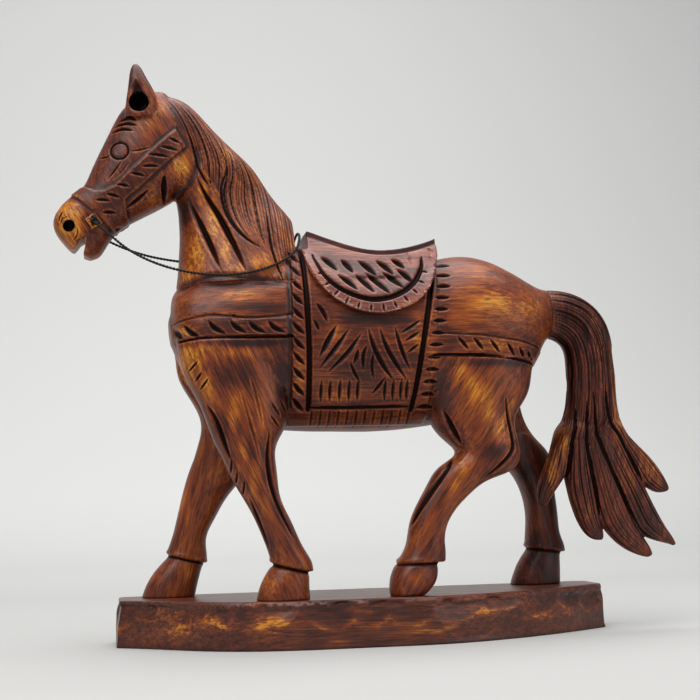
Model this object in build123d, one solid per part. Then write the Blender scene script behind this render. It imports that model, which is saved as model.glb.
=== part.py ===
"""Carved walking horse on a plinth, glued up from separate blocks of wood.

Frame: millimetres, +Z up. The origin is on the plinth's underside, below the middle of the
horse. The horse walks towards -X, and its left side faces -Y. Names say left and right as the
horse has them.

Every limb is a loft through oval sections. A section is written as
(x, z of its front or upper edge, x, z of its back or lower edge, y of its middle, half width).
The whole horse is shaped first and then sawn along its glue planes, so that the blocks meet
face to face.
"""
from build123d import *
import math
import os

# ---- driving dimensions, mm ----
PLINTH_FRONT_X = -121.0       # end under the muzzle
PLINTH_REAR_X = 129.0         # end under the tail
PLINTH_WIDTH = 80.0
PLINTH_HEIGHT = 22.5
PLINTH_EDGE_BREAK = 2.0       # hewn bevel round the top edge
PLINTH_CORNER = 3.5           # its two back corners are cut off this far

GLUE_NECK_Z = 174.0           # the neck block stands on the torso at this height
GLUE_NECK_X = -33.0           # and its mane ends here, against the withers
GLUE_LEG_Y = 13.0             # leg blocks are glued to the torso on planes at +-13
GLUE_SHOULDER_Z = 147.0       # under the breast collar
GLUE_SHOULDER_X = -38.5       # in front of the blanket
GLUE_HAUNCH_Z = 136.5         # under the breeching strap
GLUE_HAUNCH_X = 29.5          # behind the blanket
GLUE_TAIL_X = 99.5            # root of the tail
TAIL_FREE_Z = 120.0           # below this the tail hangs clear and may reach further forward

LEG_FREE_Z = 100.6            # below this a leg stands clear of the belly
LEG_Y = 25.5                  # hooves stand this far each side of the middle
HOOF_STEP = 0.6               # the hoof is this much slimmer than the pastern above it
STRAP_RISE = 1.1              # straps and blanket stand this proud of the coat
SADDLE_RISE = 3.2             # thickness of the saddle's flaps

DOWEL_FIT = 0.05              # gap all round a dowel
NECK_DOWEL = (8.0, 36.0)      # diameter, length
LEG_DOWEL = (6.0, 20.0)
SADDLE_DOWEL = (5.0, 13.0)
TAIL_DOWEL = (7.0, 24.0)
DOWEL_GAP = 1.0               # glue space at each end of a dowel hole

SCREW_SHANK = 4.0
SCREW_HEAD = 8.0
SCREW_HEAD_HEIGHT = 2.6
SCREW_LENGTH = 34.0
SCREW_RECESS = 3.0            # depth of the head below the plinth's underside
SCREW_TAPER = 3.0             # length of the pointed end
SCREW_CROSS = (4.4, 1.0, 1.2) # length, width and depth of each slot of its cross recess
SCREW_X = {
    "foreleg_left": -42.0,
    "foreleg_right": -90.0,
    "hindleg_left": 17.5,
    "hindleg_right": 98.0,
}

CORD_DIAMETER = 1.4
KNOT_DIAMETER = 3.8
KNOT_LIFT = 0.9               # the knot's middle is this far out of the wood
TONGUE_DIAMETER = 2.6         # cord end pushed into a bit hole
TONGUE_LENGTH = 4.0
KNOT_ENDS = ((-131.6, 207.6), (-127.8, 203.8))   # x, z of the two ends of a knot
BIT_HOLE_DIAMETER = 3.0
BIT_HOLE_DEPTH = 7.0
BIT = (-130.5, 205.0)         # x, z of the hole that holds each end of the reins
BIT_SURFACE_Y = 12.6
EAR_HOLE = (9.4, -108.4, 264.2, 8.6)       # diameter, x, z, y of its bottom
NOSTRIL = (5.4, -142.2, 203.4, 6.0)

OVAL_POINTS = 12
OVAL_POWER = 0.9               # 1 is an ellipse, less is squarer

# ---- sections: x, z, x, z, y, half width ----
TORSO = [
    (-94.6, 158, -93.4, 147, 0, 9),
    (-93, 168, -89, 136, 0, 19),
    (-88.4, 175, -81.5, 122, 0, 27),
    (-77, 181, -72, 111.5, 0, 31.5),
    (-58, 188, -56.5, 106, 0, 33),
    (-38, 195, -38, 103.5, 0, 33.5),
    (-14, 187, -14, 102.5, 0, 33.5),
    (12, 183.8, 12, 102.5, 0, 33.5),
    (36, 188, 36, 105, 0, 33.5),
    (56, 190.5, 56, 109.5, 0, 33),
    (72, 186, 72, 117, 0, 30.5),
    (84, 179.5, 84, 127, 0, 25.5),
    (93, 175, 93, 140, 0, 17),
    (101, 173.4, 101, 149.5, 0, 9),
]
NECK = [
    (-92, 163, -24, 181, 0, 28),
    (-90.8, 172, -26.5, 196, 0, 26),
    (-89.4, 184, -31, 206, 0, 22.5),
    (-88.7, 196, -37, 214, 0, 19),
    (-88.8, 208, -44, 223, 0, 16),
    (-90.3, 219, -51.5, 234.5, 0, 14.8),
    (-94, 230, -62.5, 245.5, 0, 14),
    (-99, 240, -75, 258.5, 0, 13),
    (-104, 247, -88.5, 269.8, 0, 11.5),
    (-110, 254, -99, 274.2, 0, 8),
]
HEAD = [
    (-110.5, 271, -95, 272.8, 0, 7.5),
    (-114.5, 265.5, -88, 263, 0, 12.5),
    (-119.6, 258.4, -82.5, 250, 0, 15.3),
    (-124.2, 249, -80.5, 240, 0, 16.3),
    (-128.4, 240, -81.5, 230, 0, 16.5),
    (-132.3, 231, -88.5, 220.5, 0, 15.6),
    (-136.2, 223.8, -99.5, 213.5, 0, 14.2),
    (-142.2, 219, -110, 208, 0, 13),
    (-147.6, 213, -119.5, 201.5, 0, 12.4),
    (-150, 206.8, -124.5, 194.5, 0, 11.7),
    (-147.8, 199.8, -128, 189.8, 0, 10.4),
    (-142.8, 193.6, -131.6, 188.2, 0, 7),
]
EAR = [
    (-115.2, 256, -99.2, 258, 10.5, 6.2),
    (-114.8, 264, -99.5, 266.5, 11, 5.6),
    (-113.8, 271, -101.8, 273, 11, 4.8),
    (-113, 278, -105.2, 279.2, 10.7, 3.6),
    (-112.2, 282.2, -107.2, 283, 10.4, 2.3),
    (-111, 284.6, -109, 285, 10.3, 0.9),
]
TAIL_STOCK = [
    (97, 173.6, 97, 149.2, 0, 9),
    (111, 172.6, 105, 146.3, 0, 9),
    (122, 167.6, 107.8, 142.5, 0, 9.3),
    (130, 158.4, 108.8, 137, 0, 9.6),
    (133.8, 145, 109, 128, 0, 9.9),
    (134.6, 129, 108.6, 119, 0, 10.2),
    (134.9, 118, 107.6, 112.5, 0, 10.4),
    (136, 109.5, 105.4, 106.5, 0, 10.2),
    (138, 102.5, 102.6, 101, 0, 9.4),
    (139, 96, 102, 95, 0, 7.4),
]
TAIL_BEND = 4                 # section where the arch of the tail ends and its fall begins
TAIL_LOCKS = [
    [
        (120, 108, 106.0, 106.5, 0, 7.6),
        (113, 94, 98.9, 92.5, 0, 7.2),
        (108.5, 84, 95.0, 82.5, 0, 6.6),
        (104.5, 76, 92.2, 76, 0, 5.8),
        (100.3, 70.5, 90.9, 70.5, 0, 4.6),
        (97.2, 65.8, 91.2, 65.4, 0, 3.2),
        (95.2, 63.2, 92.6, 62.9, 0, 1.4),
    ],
    [
        (124, 98, 106, 98, 0, 8.5),
        (123, 84, 104.3, 84, 0, 8),
        (123.5, 70, 106.6, 72, 0, 7),
        (123.5, 59, 109.2, 61.2, 0, 5.6),
        (124.6, 51.5, 112.4, 53, 0, 4.2),
        (125.3, 47.4, 116.2, 47.6, 0, 2.8),
        (124.6, 44.9, 121.2, 45, 0, 1.3),
    ],
    [
        (134, 98, 113, 97, 0, 9),
        (135.5, 82, 115, 81, 0, 8.6),
        (138.5, 66, 119, 65, 0, 7.6),
        (142, 54, 124.5, 52.2, 0, 6),
        (146.5, 46, 132, 43.3, 0, 4.4),
        (150, 40.5, 141.4, 37.4, 0, 2.8),
        (151.2, 36.9, 148.6, 35.5, 0, 1.3),
    ],
    [
        (138, 100, 121, 97, 0, 9),
        (143.6, 86, 126, 81, 0, 8.6),
        (147.5, 73, 131, 66, 0, 7.6),
        (152, 63.6, 138, 54.5, 0, 6),
        (156.6, 54.8, 146.8, 46.4, 0, 4.4),
        (161, 47.8, 155.6, 43, 0, 2.8),
        (164.2, 42, 162.6, 40.9, 0, 1.2),
    ],
    [
        (134.6, 108, 122, 98, 0, 9),
        (140.5, 98.6, 127, 86, 0, 8.6),
        (147.6, 91.2, 136, 78.5, 0, 7.2),
        (153.4, 85, 144.2, 74.6, 0, 5.8),
        (157.8, 78.8, 151, 70, 0, 4.2),
        (161, 72.8, 157, 68.3, 0, 2.6),
        (161.9, 70.2, 160.6, 68.9, 0, 1.2),
    ],
]
SHOULDER = [
    (-92, 160, -42, 160, 15.5, 16.5),
    (-91.8, 147, -40, 147, 16.2, 17.3),
    (-90, 136, -39, 134, 17, 17.3),
    (-86.5, 126, -38.6, 121, 18, 16.7),
]
FORELEG_LEFT = [
    (-81.8, 116.5, -38.6, 110, 19.8, 15.2),
    (-76.4, 102, -43, 99, 21.8, 13.2),
    (-71.2, 90, -45.6, 88.5, 23, 11.8),
    (-66.1, 78.7, -44.4, 74.5, 24, 10.8),
    (-60.3, 68.5, -41.4, 64.5, 24.6, 10.2),
    (-55.2, 58.5, -36.8, 54.5, 25, 9.6),
    (-51.2, 48.5, -32.6, 45.5, 25.3, 9.6),
    (-49, 40.8, -29, 37, 25.5, 10.3),
    (-48.8, 39, -30, 34.6, 25.5, 10),
]
FORELEG_RIGHT = [
    (-79, 113, -41.5, 109, 19.8, 15.2),
    (-78, 103, -46.5, 98.5, 21.8, 13.2),
    (-81.4, 91, -53.8, 87, 23, 11.8),
    (-85.9, 78.5, -61.5, 75.5, 24, 10.8),
    (-88.6, 68, -68, 66.5, 24.6, 10.2),
    (-90.9, 58.5, -73, 57.5, 25, 9.6),
    (-93.6, 49.5, -75.8, 48, 25.3, 9.6),
    (-95.6, 43.4, -75.6, 39.4, 25.5, 10.3),
    (-95.6, 42, -77.2, 37.2, 25.5, 10),
]
HAUNCH = [
    (35, 152, 88, 146, 13.5, 16),
    (31.5, 139, 88.5, 137, 15.6, 17.4),
]
HINDLEG_LEFT = [
    (29.5, 124, 83.4, 123.5, 17.2, 16.8),
    (30.6, 108.5, 76, 110.5, 19.6, 15),
    (36.3, 98, 73.8, 100, 21.6, 13.4),
    (42.6, 91.5, 75.2, 87.6, 23, 12.2),
    (36.6, 84.8, 63, 78, 24, 11),
    (29.3, 77, 50.8, 71.6, 24.5, 10.2),
    (22.6, 65.5, 42.2, 63.5, 25, 9.6),
    (18.2, 54.8, 37, 55.6, 25.2, 9.4),
    (16.2, 45.5, 35.4, 45.5, 25.4, 9.8),
    (11.4, 38.2, 34.4, 38, 25.5, 10.2),
    (10.4, 37, 32, 36.6, 25.5, 9.9),
]
HINDLEG_RIGHT = [
    (32.5, 124, 87.2, 121.5, 17.2, 16.8),
    (44, 109, 90.8, 108, 19.6, 15),
    (60, 97.5, 97.6, 98, 21.6, 13.4),
    (74.5, 89, 105.2, 88.6, 23, 12.2),
    (84.6, 80.5, 106.8, 77.5, 24, 11),
    (90.4, 69, 107.7, 67, 24.5, 10.2),
    (92.2, 58, 108.8, 57, 25, 9.6),
    (91.7, 47.5, 110.4, 46.5, 25.4, 9.8),
    (91.2, 41.4, 111.6, 39, 25.5, 10.3),
    (91.2, 40, 109.8, 37.4, 25.5, 10),
]
HOOVES = {
    "foreleg_left": [
        (-52, 33.5, -30.8, 31, 25.5, 10.6),
        (-56, PLINTH_HEIGHT, -30.4, PLINTH_HEIGHT, 25.5, 11.2),
    ],
    "foreleg_right": [
        (-103, 33, -79.6, 31, 25.5, 10.6),
        (-108, PLINTH_HEIGHT, -81.6, PLINTH_HEIGHT, 25.5, 11.2),
    ],
    "hindleg_left": [
        (8.4, 30.5, 30.6, 29.4, 25.5, 10.8),
        (8.4, PLINTH_HEIGHT, 24.6, PLINTH_HEIGHT, 25.5, 10.2),
    ],
    "hindleg_right": [
        (86.6, 32.5, 109.2, 30.5, 25.5, 10.6),
        (82.8, PLINTH_HEIGHT, 108.9, PLINTH_HEIGHT, 25.5, 11.2),
    ],
}

# Outlines in side view, x and z.
MOUTH_NOTCH = [
    (-133.4, 198.9),
    (-136.8, 197),
    (-139.8, 192.4),
    (-143, 184),
    (-136, 183),
    (-135.5, 190.5),
    (-134.4, 195),
]
SADDLE_FLAP = [
    (-30.6, 191),
    (-25.4, 174.5),
    (-15, 163.6),
    (2, 157.6),
    (16, 159.6),
    (27, 166),
    (34, 177),
    (38, 191),
]
SADDLE_SEAT = [(-27.4, 200.8), (-9, 194.6), (6, 191.6), (22, 192.8), (37.6, 197.6)]
SADDLE_SEAT_BOTTOM = 172.0
SADDLE_SEAT_HALF_WIDTH = 17.0
SADDLE_RIM = 3.4              # the pad under the seat starts this far below its upper edge
SADDLE_PAD = [(-29, 176), (-16.4, 199), (16.4, 199), (29, 176)]   # y, z of the pads in section
BLANKET_FRONT = (-38.4, -36.8)     # x at the lower edge and at the top
BLANKET_REAR = (29.4, 37.5)
BLANKET_TOP_Z = 200.0
BLANKET_BOTTOM_Z = 104.6
# Straps in side view, x and z.
COLLAR = [(-110, 144), (-77, 147), (-20, 147), (-20, 156.5), (-59, 155), (-75, 156.5), (-110, 153)]
BREECHING = [(20, 137), (55, 137.5), (76, 135), (110, 129), (110, 137.5), (76, 144), (55, 146.5), (20, 148)]
DRILL_FROM_Y = 30.0                # drills enter the head from this far out
BIG = 400.0

# Route of the reins, x y z, from the left bit hole over the withers to the right one.
REIN_ROUTE = [
    (-130.3, -14.0, 204.8),
    (-124.6, -17.8, 199.4),
    (-113.0, -22.6, 188.4),
    (-97.0, -26.4, 180.6),
    (-79.0, -28.6, 176.6),
    (-60.0, -29.6, 176.8),
    (-44.5, -27.8, 181.4),
    (-33.5, -22.4, 188.8),
    (-30.2, -14.5, 197.6),
    (-29.8, -5.0, 202.0),
    (-29.8, 5.0, 202.0),
    (-30.4, 14.5, 198.0),
    (-36.5, 22.0, 193.4),
    (-50.0, 25.4, 191.4),
    (-68.0, 25.6, 190.8),
    (-87.0, 24.0, 191.8),
    (-105.0, 21.2, 194.4),
    (-119.6, 17.8, 199.2),
    (-127.6, 15.2, 203.2),
    (-130.3, 14.0, 204.8),
]


# ---- helpers ----
def oval(section, side=1, swell=0.0):
    """Oval face of one section. side mirrors it to -Y, swell makes it larger all round."""
    x1, z1, x2, z2, y, half_width = section
    front = Vector(x1, side * y, z1)
    back = Vector(x2, side * y, z2)
    middle = (front + back) * 0.5
    reach = (front - back) * 0.5
    reach += reach.normalized() * swell
    points = []
    for step in range(OVAL_POINTS):
        angle = 2 * math.pi * step / OVAL_POINTS
        along = math.copysign(abs(math.cos(angle)) ** OVAL_POWER, math.cos(angle))
        across = math.copysign(abs(math.sin(angle)) ** OVAL_POWER, math.sin(angle))
        points.append(middle + reach * along + Vector(0, (half_width + swell) * across, 0))
    steps = [step / OVAL_POINTS for step in range(OVAL_POINTS + 1)]
    edge = Edge.make_spline(points, periodic=True, parameters=steps)
    return Face(Wire([edge]))


def limb(sections, side=1, swell=0.0):
    """Loft through a list of sections."""
    return loft([oval(section, side, swell) for section in sections])


def slab(x_range, y_range, z_range):
    """Box between two corners."""
    lows = Vector(x_range[0], y_range[0], z_range[0])
    highs = Vector(x_range[1], y_range[1], z_range[1])
    size = highs - lows
    return Pos(*(lows + size * 0.5)) * Box(size.X, size.Y, size.Z)


def side_prism(outline, half_width=BIG / 2):
    """Side-view outline pushed out both ways along Y."""
    face = Plane.XZ * make_face(Polyline(*outline, close=True))
    return extrude(face, amount=half_width, both=True)


def rod(diameter, start, end):
    """Round rod between two points."""
    start = Vector(*start)
    axis = Vector(*end) - start
    plane = Plane(origin=start, z_dir=axis.normalized())
    return extrude(plane * Circle(diameter / 2), amount=axis.length)


def one_solid(name, shape):
    """The only solid of a cut or joined shape."""
    solids = shape.solids()
    if len(solids) != 1:
        raise ValueError(name + " is in " + str(len(solids)) + " pieces")
    return solids[0]


# ---- the plinth ----
def plinth():
    """Boat-shaped plinth: a straight back edge, a bulging front edge and two cut ends."""
    y_back = PLINTH_WIDTH / 2
    front_edge = [
        (PLINTH_FRONT_X, 7),
        (-100, -9),
        (-74, -29.5),
        (-48, -38.6),
        (-8, -y_back),
        (30, -39),
        (62, -29.5),
        (PLINTH_REAR_X, 12),
    ]
    back_edge = [
        front_edge[-1],
        (PLINTH_REAR_X, y_back - PLINTH_CORNER),
        (PLINTH_REAR_X - PLINTH_CORNER, y_back),
        (PLINTH_FRONT_X + PLINTH_CORNER, y_back),
        (PLINTH_FRONT_X, y_back - PLINTH_CORNER),
        front_edge[0],
    ]
    outline = [Spline(*front_edge), Polyline(*back_edge)]
    block = extrude(make_face(outline), amount=PLINTH_HEIGHT)
    top = block.faces().sort_by(Axis.Z)[-1]
    return chamfer(top.edges(), PLINTH_EDGE_BREAK)


# ---- the horse before it is sawn ----
def blanket_prism():
    """Side view of the blanket, from its lower edge up to the withers and back."""
    outline = [
        (BLANKET_FRONT[0], BLANKET_BOTTOM_Z),
        (BLANKET_FRONT[1], BLANKET_TOP_Z),
        (BLANKET_REAR[1], BLANKET_TOP_Z),
        (BLANKET_REAR[0], BLANKET_BOTTOM_Z),
    ]
    return side_prism(outline)


def harness(barrel_swollen):
    """Blanket, breast collar and breeching strap, carved proud of the coat."""
    blanket = barrel_swollen & blanket_prism()
    collar = barrel_swollen & side_prism(COLLAR)
    breeching = barrel_swollen & side_prism(BREECHING)
    return [blanket, collar, breeching]


def head():
    """Head with both ears, the drilled ears, nostrils and bit holes, and the open mouth."""
    shape = limb(HEAD)
    for side in (-1, 1):
        shape += limb(EAR, side)
    shape -= side_prism(MOUTH_NOTCH)
    bit_hole = (BIT_HOLE_DIAMETER, BIT[0], BIT[1], BIT_SURFACE_Y - BIT_HOLE_DEPTH)
    for diameter, x, z, bottom in (EAR_HOLE, NOSTRIL, bit_hole):
        for side in (-1, 1):
            shape -= rod(diameter, (x, side * DRILL_FROM_Y, z), (x, side * bottom, z))
    return shape


def leg(name, sections, upper, side):
    """One leg with its shoulder or haunch. Its hoof starts a step in from the pastern's end."""
    hoof = [oval(sections[-1], side, -HOOF_STEP)]
    hoof += [oval(section, side) for section in HOOVES[name]]
    return limb(upper + sections, side) + loft(hoof)


# ---- dowels and screws ----
def dowel(size, middle, axis):
    """Dowel about a point on the glue plane."""
    diameter, length = size
    half = Vector(*axis) * (length / 2)
    middle = Vector(*middle)
    return rod(diameter, middle - half, middle + half)


def dowel_hole(size, middle, axis):
    """Hole for that dowel, with room for glue."""
    return dowel((size[0] + 2 * DOWEL_FIT, size[1] + 2 * DOWEL_GAP), middle, axis)


def hoof_screw(x, y):
    """Countersunk screw from under the plinth up into a hoof."""
    head_low = SCREW_RECESS
    head_high = head_low + SCREW_HEAD_HEIGHT
    tip = head_low + SCREW_LENGTH
    profile = [
        (0, head_low),
        (SCREW_HEAD / 2, head_low),
        (SCREW_SHANK / 2, head_high),
        (SCREW_SHANK / 2, tip - SCREW_TAPER),
        (0, tip),
    ]
    face = Plane.XZ * make_face(Polyline(*profile, close=True))
    body = revolve(face, Axis.Z)
    slot = Pos(0, 0, head_low + SCREW_CROSS[2] / 2) * Box(*SCREW_CROSS)
    body = body - slot - Rot(0, 0, 90) * slot
    return Pos(x, y, 0) * body


def screw_hole(x, y):
    """Pilot, countersink and recess for that screw, a little larger than it."""
    gap = DOWEL_FIT
    head_low = SCREW_RECESS
    head_high = head_low + SCREW_HEAD_HEIGHT
    tip = head_low + SCREW_LENGTH
    profile = [
        (0, -1),
        (SCREW_HEAD / 2 + gap, -1),
        (SCREW_HEAD / 2 + gap, head_low),
        (SCREW_SHANK / 2 + gap, head_high),
        (SCREW_SHANK / 2 + gap, tip + 1),
        (0, tip + 1),
    ]
    face = Plane.XZ * make_face(Polyline(*profile, close=True))
    return Pos(x, y, 0) * revolve(face, Axis.Z)


# Each dowel: the block it holds to the torso, its size, its middle and its direction.
UP, ALONG, ACROSS = (0, 0, 1), (1, 0, 0), (0, 1, 0)
DOWELS = {
    "dowel_neck_front": ("neck_and_head", NECK_DOWEL, (-74, 0, GLUE_NECK_Z), UP),
    "dowel_neck_rear": ("neck_and_head", NECK_DOWEL, (-50, 0, GLUE_NECK_Z), UP),
    "dowel_saddle_front": ("saddle", SADDLE_DOWEL, (-14, 0, 184), UP),
    "dowel_saddle_rear": ("saddle", SADDLE_DOWEL, (26, 0, 184), UP),
    "dowel_tail": ("tail", TAIL_DOWEL, (GLUE_TAIL_X, 0, 161.5), ALONG),
}
for hand, glue_y in (("left", -GLUE_LEG_Y), ("right", GLUE_LEG_Y)):
    for limb_name, front_spot, rear_spot in (
        ("foreleg_" + hand, (-74, glue_y, 136), (-54, glue_y, 126)),
        ("hindleg_" + hand, (46, glue_y, 126), (66, glue_y, 124)),
    ):
        DOWELS["dowel_" + limb_name + "_front"] = (limb_name, LEG_DOWEL, front_spot, ACROSS)
        DOWELS["dowel_" + limb_name + "_rear"] = (limb_name, LEG_DOWEL, rear_spot, ACROSS)


# ---- the saddle ----
def seat_outline(drop):
    """Side view of the seat with its upper edge lowered by drop."""
    upper = [(x, z - drop) for x, z in SADDLE_SEAT]
    lower = [
        upper[-1],
        (upper[-1][0], SADDLE_SEAT_BOTTOM),
        (upper[0][0], SADDLE_SEAT_BOTTOM),
        upper[0],
    ]
    return Plane.XZ * make_face([Spline(*upper), Polyline(*lower)])


def side_face(edges):
    """Closed outline in side view pushed out both ways along Y."""
    return extrude(Plane.XZ * make_face(edges), amount=BIG / 2, both=True)


def saddle(blanketed):
    """Dipped seat, the pads that slope away under its rim, and half-moon flaps."""
    seat = extrude(seat_outline(0), amount=SADDLE_SEAT_HALF_WIDTH, both=True)
    under_rim = extrude(seat_outline(SADDLE_RIM), amount=BIG / 2, both=True)
    slopes = extrude(Plane.YZ * make_face(Polyline(*SADDLE_PAD, close=True)), amount=BIG / 2, both=True)
    lower_edge = Spline(*SADDLE_FLAP)
    moon = side_face([lower_edge, Line(SADDLE_FLAP[-1], SADDLE_FLAP[0])])
    above = [SADDLE_FLAP[-1], (SADDLE_FLAP[-1][0], BIG), (SADDLE_FLAP[0][0], BIG), SADDLE_FLAP[0]]
    flaps = limb(TORSO, swell=STRAP_RISE + SADDLE_RISE) & moon
    pads = slopes & under_rim & side_face([lower_edge, Polyline(*above)])
    return (seat + pads + flaps) - blanketed


# ---- the reins ----
def corner_radii(points):
    """Largest arc each corner takes: 0.45 of its shorter run over the tangent of half the turn."""
    radii = []
    for before, here, after in zip(points, points[1:], points[2:]):
        run_in = Vector(*here) - Vector(*before)
        run_out = Vector(*after) - Vector(*here)
        turn = run_in.get_angle(run_out)
        shorter = min(run_in.length, run_out.length)
        radii.append(0.45 * shorter / math.tan(math.radians(turn / 2)))
    return radii


def reins():
    """Both reins as one cord."""
    radii = corner_radii(REIN_ROUTE)
    path = FilletPolyline(*REIN_ROUTE, radius=radii)
    start = Vector(*REIN_ROUTE[0])
    heading = (Vector(*REIN_ROUTE[1]) - start).normalized()
    tube = sweep(Plane(origin=start, z_dir=heading) * Circle(CORD_DIAMETER / 2), path=path)
    section = math.pi * CORD_DIAMETER ** 2 / 4
    print("rein corner radii", [round(radius, 1) for radius in radii])
    print("rein length", round(path.length, 1))
    print("rein volume over section times length", round(tube.volume / (section * path.length), 4))
    return tube


def rein_knot(side):
    """Long stopper knot that lies over one bit hole, with a tongue down the hole."""
    y_knot = side * (BIT_SURFACE_Y + KNOT_LIFT)
    ends = [(x, y_knot, z) for x, z in KNOT_ENDS]
    knot = rod(KNOT_DIAMETER, *ends)
    for end in ends:
        knot += Pos(*end) * Sphere(KNOT_DIAMETER / 2)
    tongue_tip = side * (BIT_SURFACE_Y - TONGUE_LENGTH)
    knot += rod(TONGUE_DIAMETER, (BIT[0], y_knot, BIT[1]), (BIT[0], tongue_tip, BIT[1]))
    return knot


# ---- assembly ----
def build():
    """Every block, fastener and cord by node name."""
    nodes = {}
    base = plinth()

    barrel = limb(TORSO)
    blanketed = limb(TORSO, swell=STRAP_RISE)
    for band in harness(blanketed):
        barrel += band
    nodes["saddle"] = saddle(blanketed)

    neck_and_head = limb(NECK) + head()
    neck_zone = slab((-BIG, GLUE_NECK_X), (-BIG / 2, BIG / 2), (GLUE_NECK_Z, BIG))
    nodes["neck_and_head"] = (neck_and_head & neck_zone) + (barrel & neck_zone)

    tail = limb(TAIL_STOCK[: TAIL_BEND + 1]) + limb(TAIL_STOCK[TAIL_BEND:])
    for lock in TAIL_LOCKS:
        tail += limb(lock)
    tail_zone = slab((GLUE_TAIL_X, BIG), (-BIG / 2, BIG / 2), (0, BIG))
    tail_hangs = slab((0, BIG), (-BIG / 2, BIG / 2), (0, TAIL_FREE_Z))
    nodes["tail"] = tail & (tail_zone + tail_hangs)

    torso = barrel - neck_zone - tail_zone
    legs = {
        "foreleg_left": leg("foreleg_left", FORELEG_LEFT, SHOULDER, -1),
        "foreleg_right": leg("foreleg_right", FORELEG_RIGHT, SHOULDER, 1),
        "hindleg_left": leg("hindleg_left", HINDLEG_LEFT, HAUNCH, -1),
        "hindleg_right": leg("hindleg_right", HINDLEG_RIGHT, HAUNCH, 1),
    }
    for name, shape in legs.items():
        side = -1 if name.endswith("left") else 1
        glued = sorted((side * GLUE_LEG_Y, side * BIG / 2))
        free = sorted((0, side * BIG / 2))
        if name.startswith("fore"):
            zone = slab((-BIG, GLUE_SHOULDER_X), glued, (0, GLUE_SHOULDER_Z))
            below = slab((-BIG, 0), free, (0, LEG_FREE_Z))
        else:
            zone = slab((GLUE_HAUNCH_X, BIG), glued, (0, GLUE_HAUNCH_Z))
            below = slab((0, BIG), free, (0, LEG_FREE_Z))
        nodes[name] = (shape & (zone + below)) + (barrel & zone)
        torso -= zone
    nodes["torso"] = torso

    for name, (other_block, *place) in DOWELS.items():
        nodes[name] = dowel(*place)
        nodes["torso"] -= dowel_hole(*place)
        nodes[other_block] -= dowel_hole(*place)

    for name, x in SCREW_X.items():
        side = -1 if name.endswith("left") else 1
        hole = screw_hole(x, side * LEG_Y)
        base -= hole
        nodes[name] -= hole
        nodes["screw_" + name] = hoof_screw(x, side * LEG_Y)
    nodes["plinth"] = base

    cord = reins()
    for side_name, side in (("left", -1), ("right", 1)):
        knot = rein_knot(side) - nodes["neck_and_head"]
        nodes["rein_knot_" + side_name] = knot
        cord -= knot
    nodes["reins"] = cord
    return nodes


os.makedirs("parts", exist_ok=True)
for node_name, node_shape in build().items():
    export_step(one_solid(node_name, node_shape), "parts/" + node_name + ".step")
    print(node_name, round(node_shape.volume))
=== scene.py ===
"""Looks of a carved, stained and lacquered wooden walking horse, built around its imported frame."""
import math

import bmesh
import bpy
import numpy as np
from mathutils import Matrix, Vector


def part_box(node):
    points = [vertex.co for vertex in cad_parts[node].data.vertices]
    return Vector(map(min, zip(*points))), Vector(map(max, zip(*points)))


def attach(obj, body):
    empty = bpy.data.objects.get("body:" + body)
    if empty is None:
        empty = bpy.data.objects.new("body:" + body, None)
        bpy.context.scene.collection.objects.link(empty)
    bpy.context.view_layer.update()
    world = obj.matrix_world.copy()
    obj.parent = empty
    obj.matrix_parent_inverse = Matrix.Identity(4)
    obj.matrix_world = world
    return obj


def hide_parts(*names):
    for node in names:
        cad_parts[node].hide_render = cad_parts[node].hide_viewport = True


bl_info = {
    "name": "Carved Walking Horse",
    "version": (1, 0, 0),
    "blender": (4, 5, 0),
    "location": "3D View > Sidebar > Carving",
    "description": "Carves, stains and lacquers a wooden walking horse on a plinth",
    "category": "Object",
}

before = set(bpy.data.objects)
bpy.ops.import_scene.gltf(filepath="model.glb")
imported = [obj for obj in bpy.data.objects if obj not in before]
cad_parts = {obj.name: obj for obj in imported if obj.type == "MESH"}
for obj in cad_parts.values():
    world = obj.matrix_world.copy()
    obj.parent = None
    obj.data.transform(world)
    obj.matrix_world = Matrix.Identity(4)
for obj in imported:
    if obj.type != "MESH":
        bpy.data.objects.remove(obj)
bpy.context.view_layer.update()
MM = 0.001

HORSE_BLOCKS = ("torso", "neck_and_head", "foreleg_left", "foreleg_right", "hindleg_left", "hindleg_right")
LEG_BLOCKS = HORSE_BLOCKS[2:]
GRAIN_LEAN = {  # degrees about Y from each block's grain to X
    "torso": 0, "neck_and_head": -58, "foreleg_left": -64, "foreleg_right": -104, "hindleg_left": -125,
    "hindleg_right": -80,
}
HIDDEN_RODS = [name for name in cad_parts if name.startswith("dowel")]
HIDDEN_SCREWS = [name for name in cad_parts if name.startswith("screw")]

# Glue planes, in metres, as the frame has them.
NECK_GLUE = (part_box("neck_and_head")[1].x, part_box("neck_and_head")[0].z)
LEG_GLUE_Y = 0.013
SHOULDER_GLUE_X = -0.0385
SHOULDER_GLUE_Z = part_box("foreleg_left")[1].z
HAUNCH_GLUE_X = 0.0295
HAUNCH_GLUE_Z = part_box("hindleg_left")[1].z
LEG_BELOW_Z = 0.1006
TAIL_GLUE_X = 0.0995
PLINTH_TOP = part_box("plinth")[1].z

MOST_TRIANGLES = 190000          # in one carved piece
MOST_SADDLE_TRIANGLES = 150000


# ---------------------------------------------------------------- small helpers
def linear(hex_colour):
    """Linear RGBA of an sRGB hex colour."""
    channels = [int(hex_colour[i:i + 2], 16) / 255 for i in (1, 3, 5)]
    return tuple(c / 12.92 if c <= 0.04045 else ((c + 0.055) / 1.055) ** 2.4 for c in channels) + (1.0,)


def pick(*objects):
    """Select only these objects, the last one active."""
    if bpy.context.object and bpy.context.object.mode != "OBJECT":
        bpy.ops.object.mode_set(mode="OBJECT")
    bpy.ops.object.select_all(action="DESELECT")
    for each in objects:
        each.select_set(True)
    bpy.context.view_layer.objects.active = objects[-1]


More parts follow.
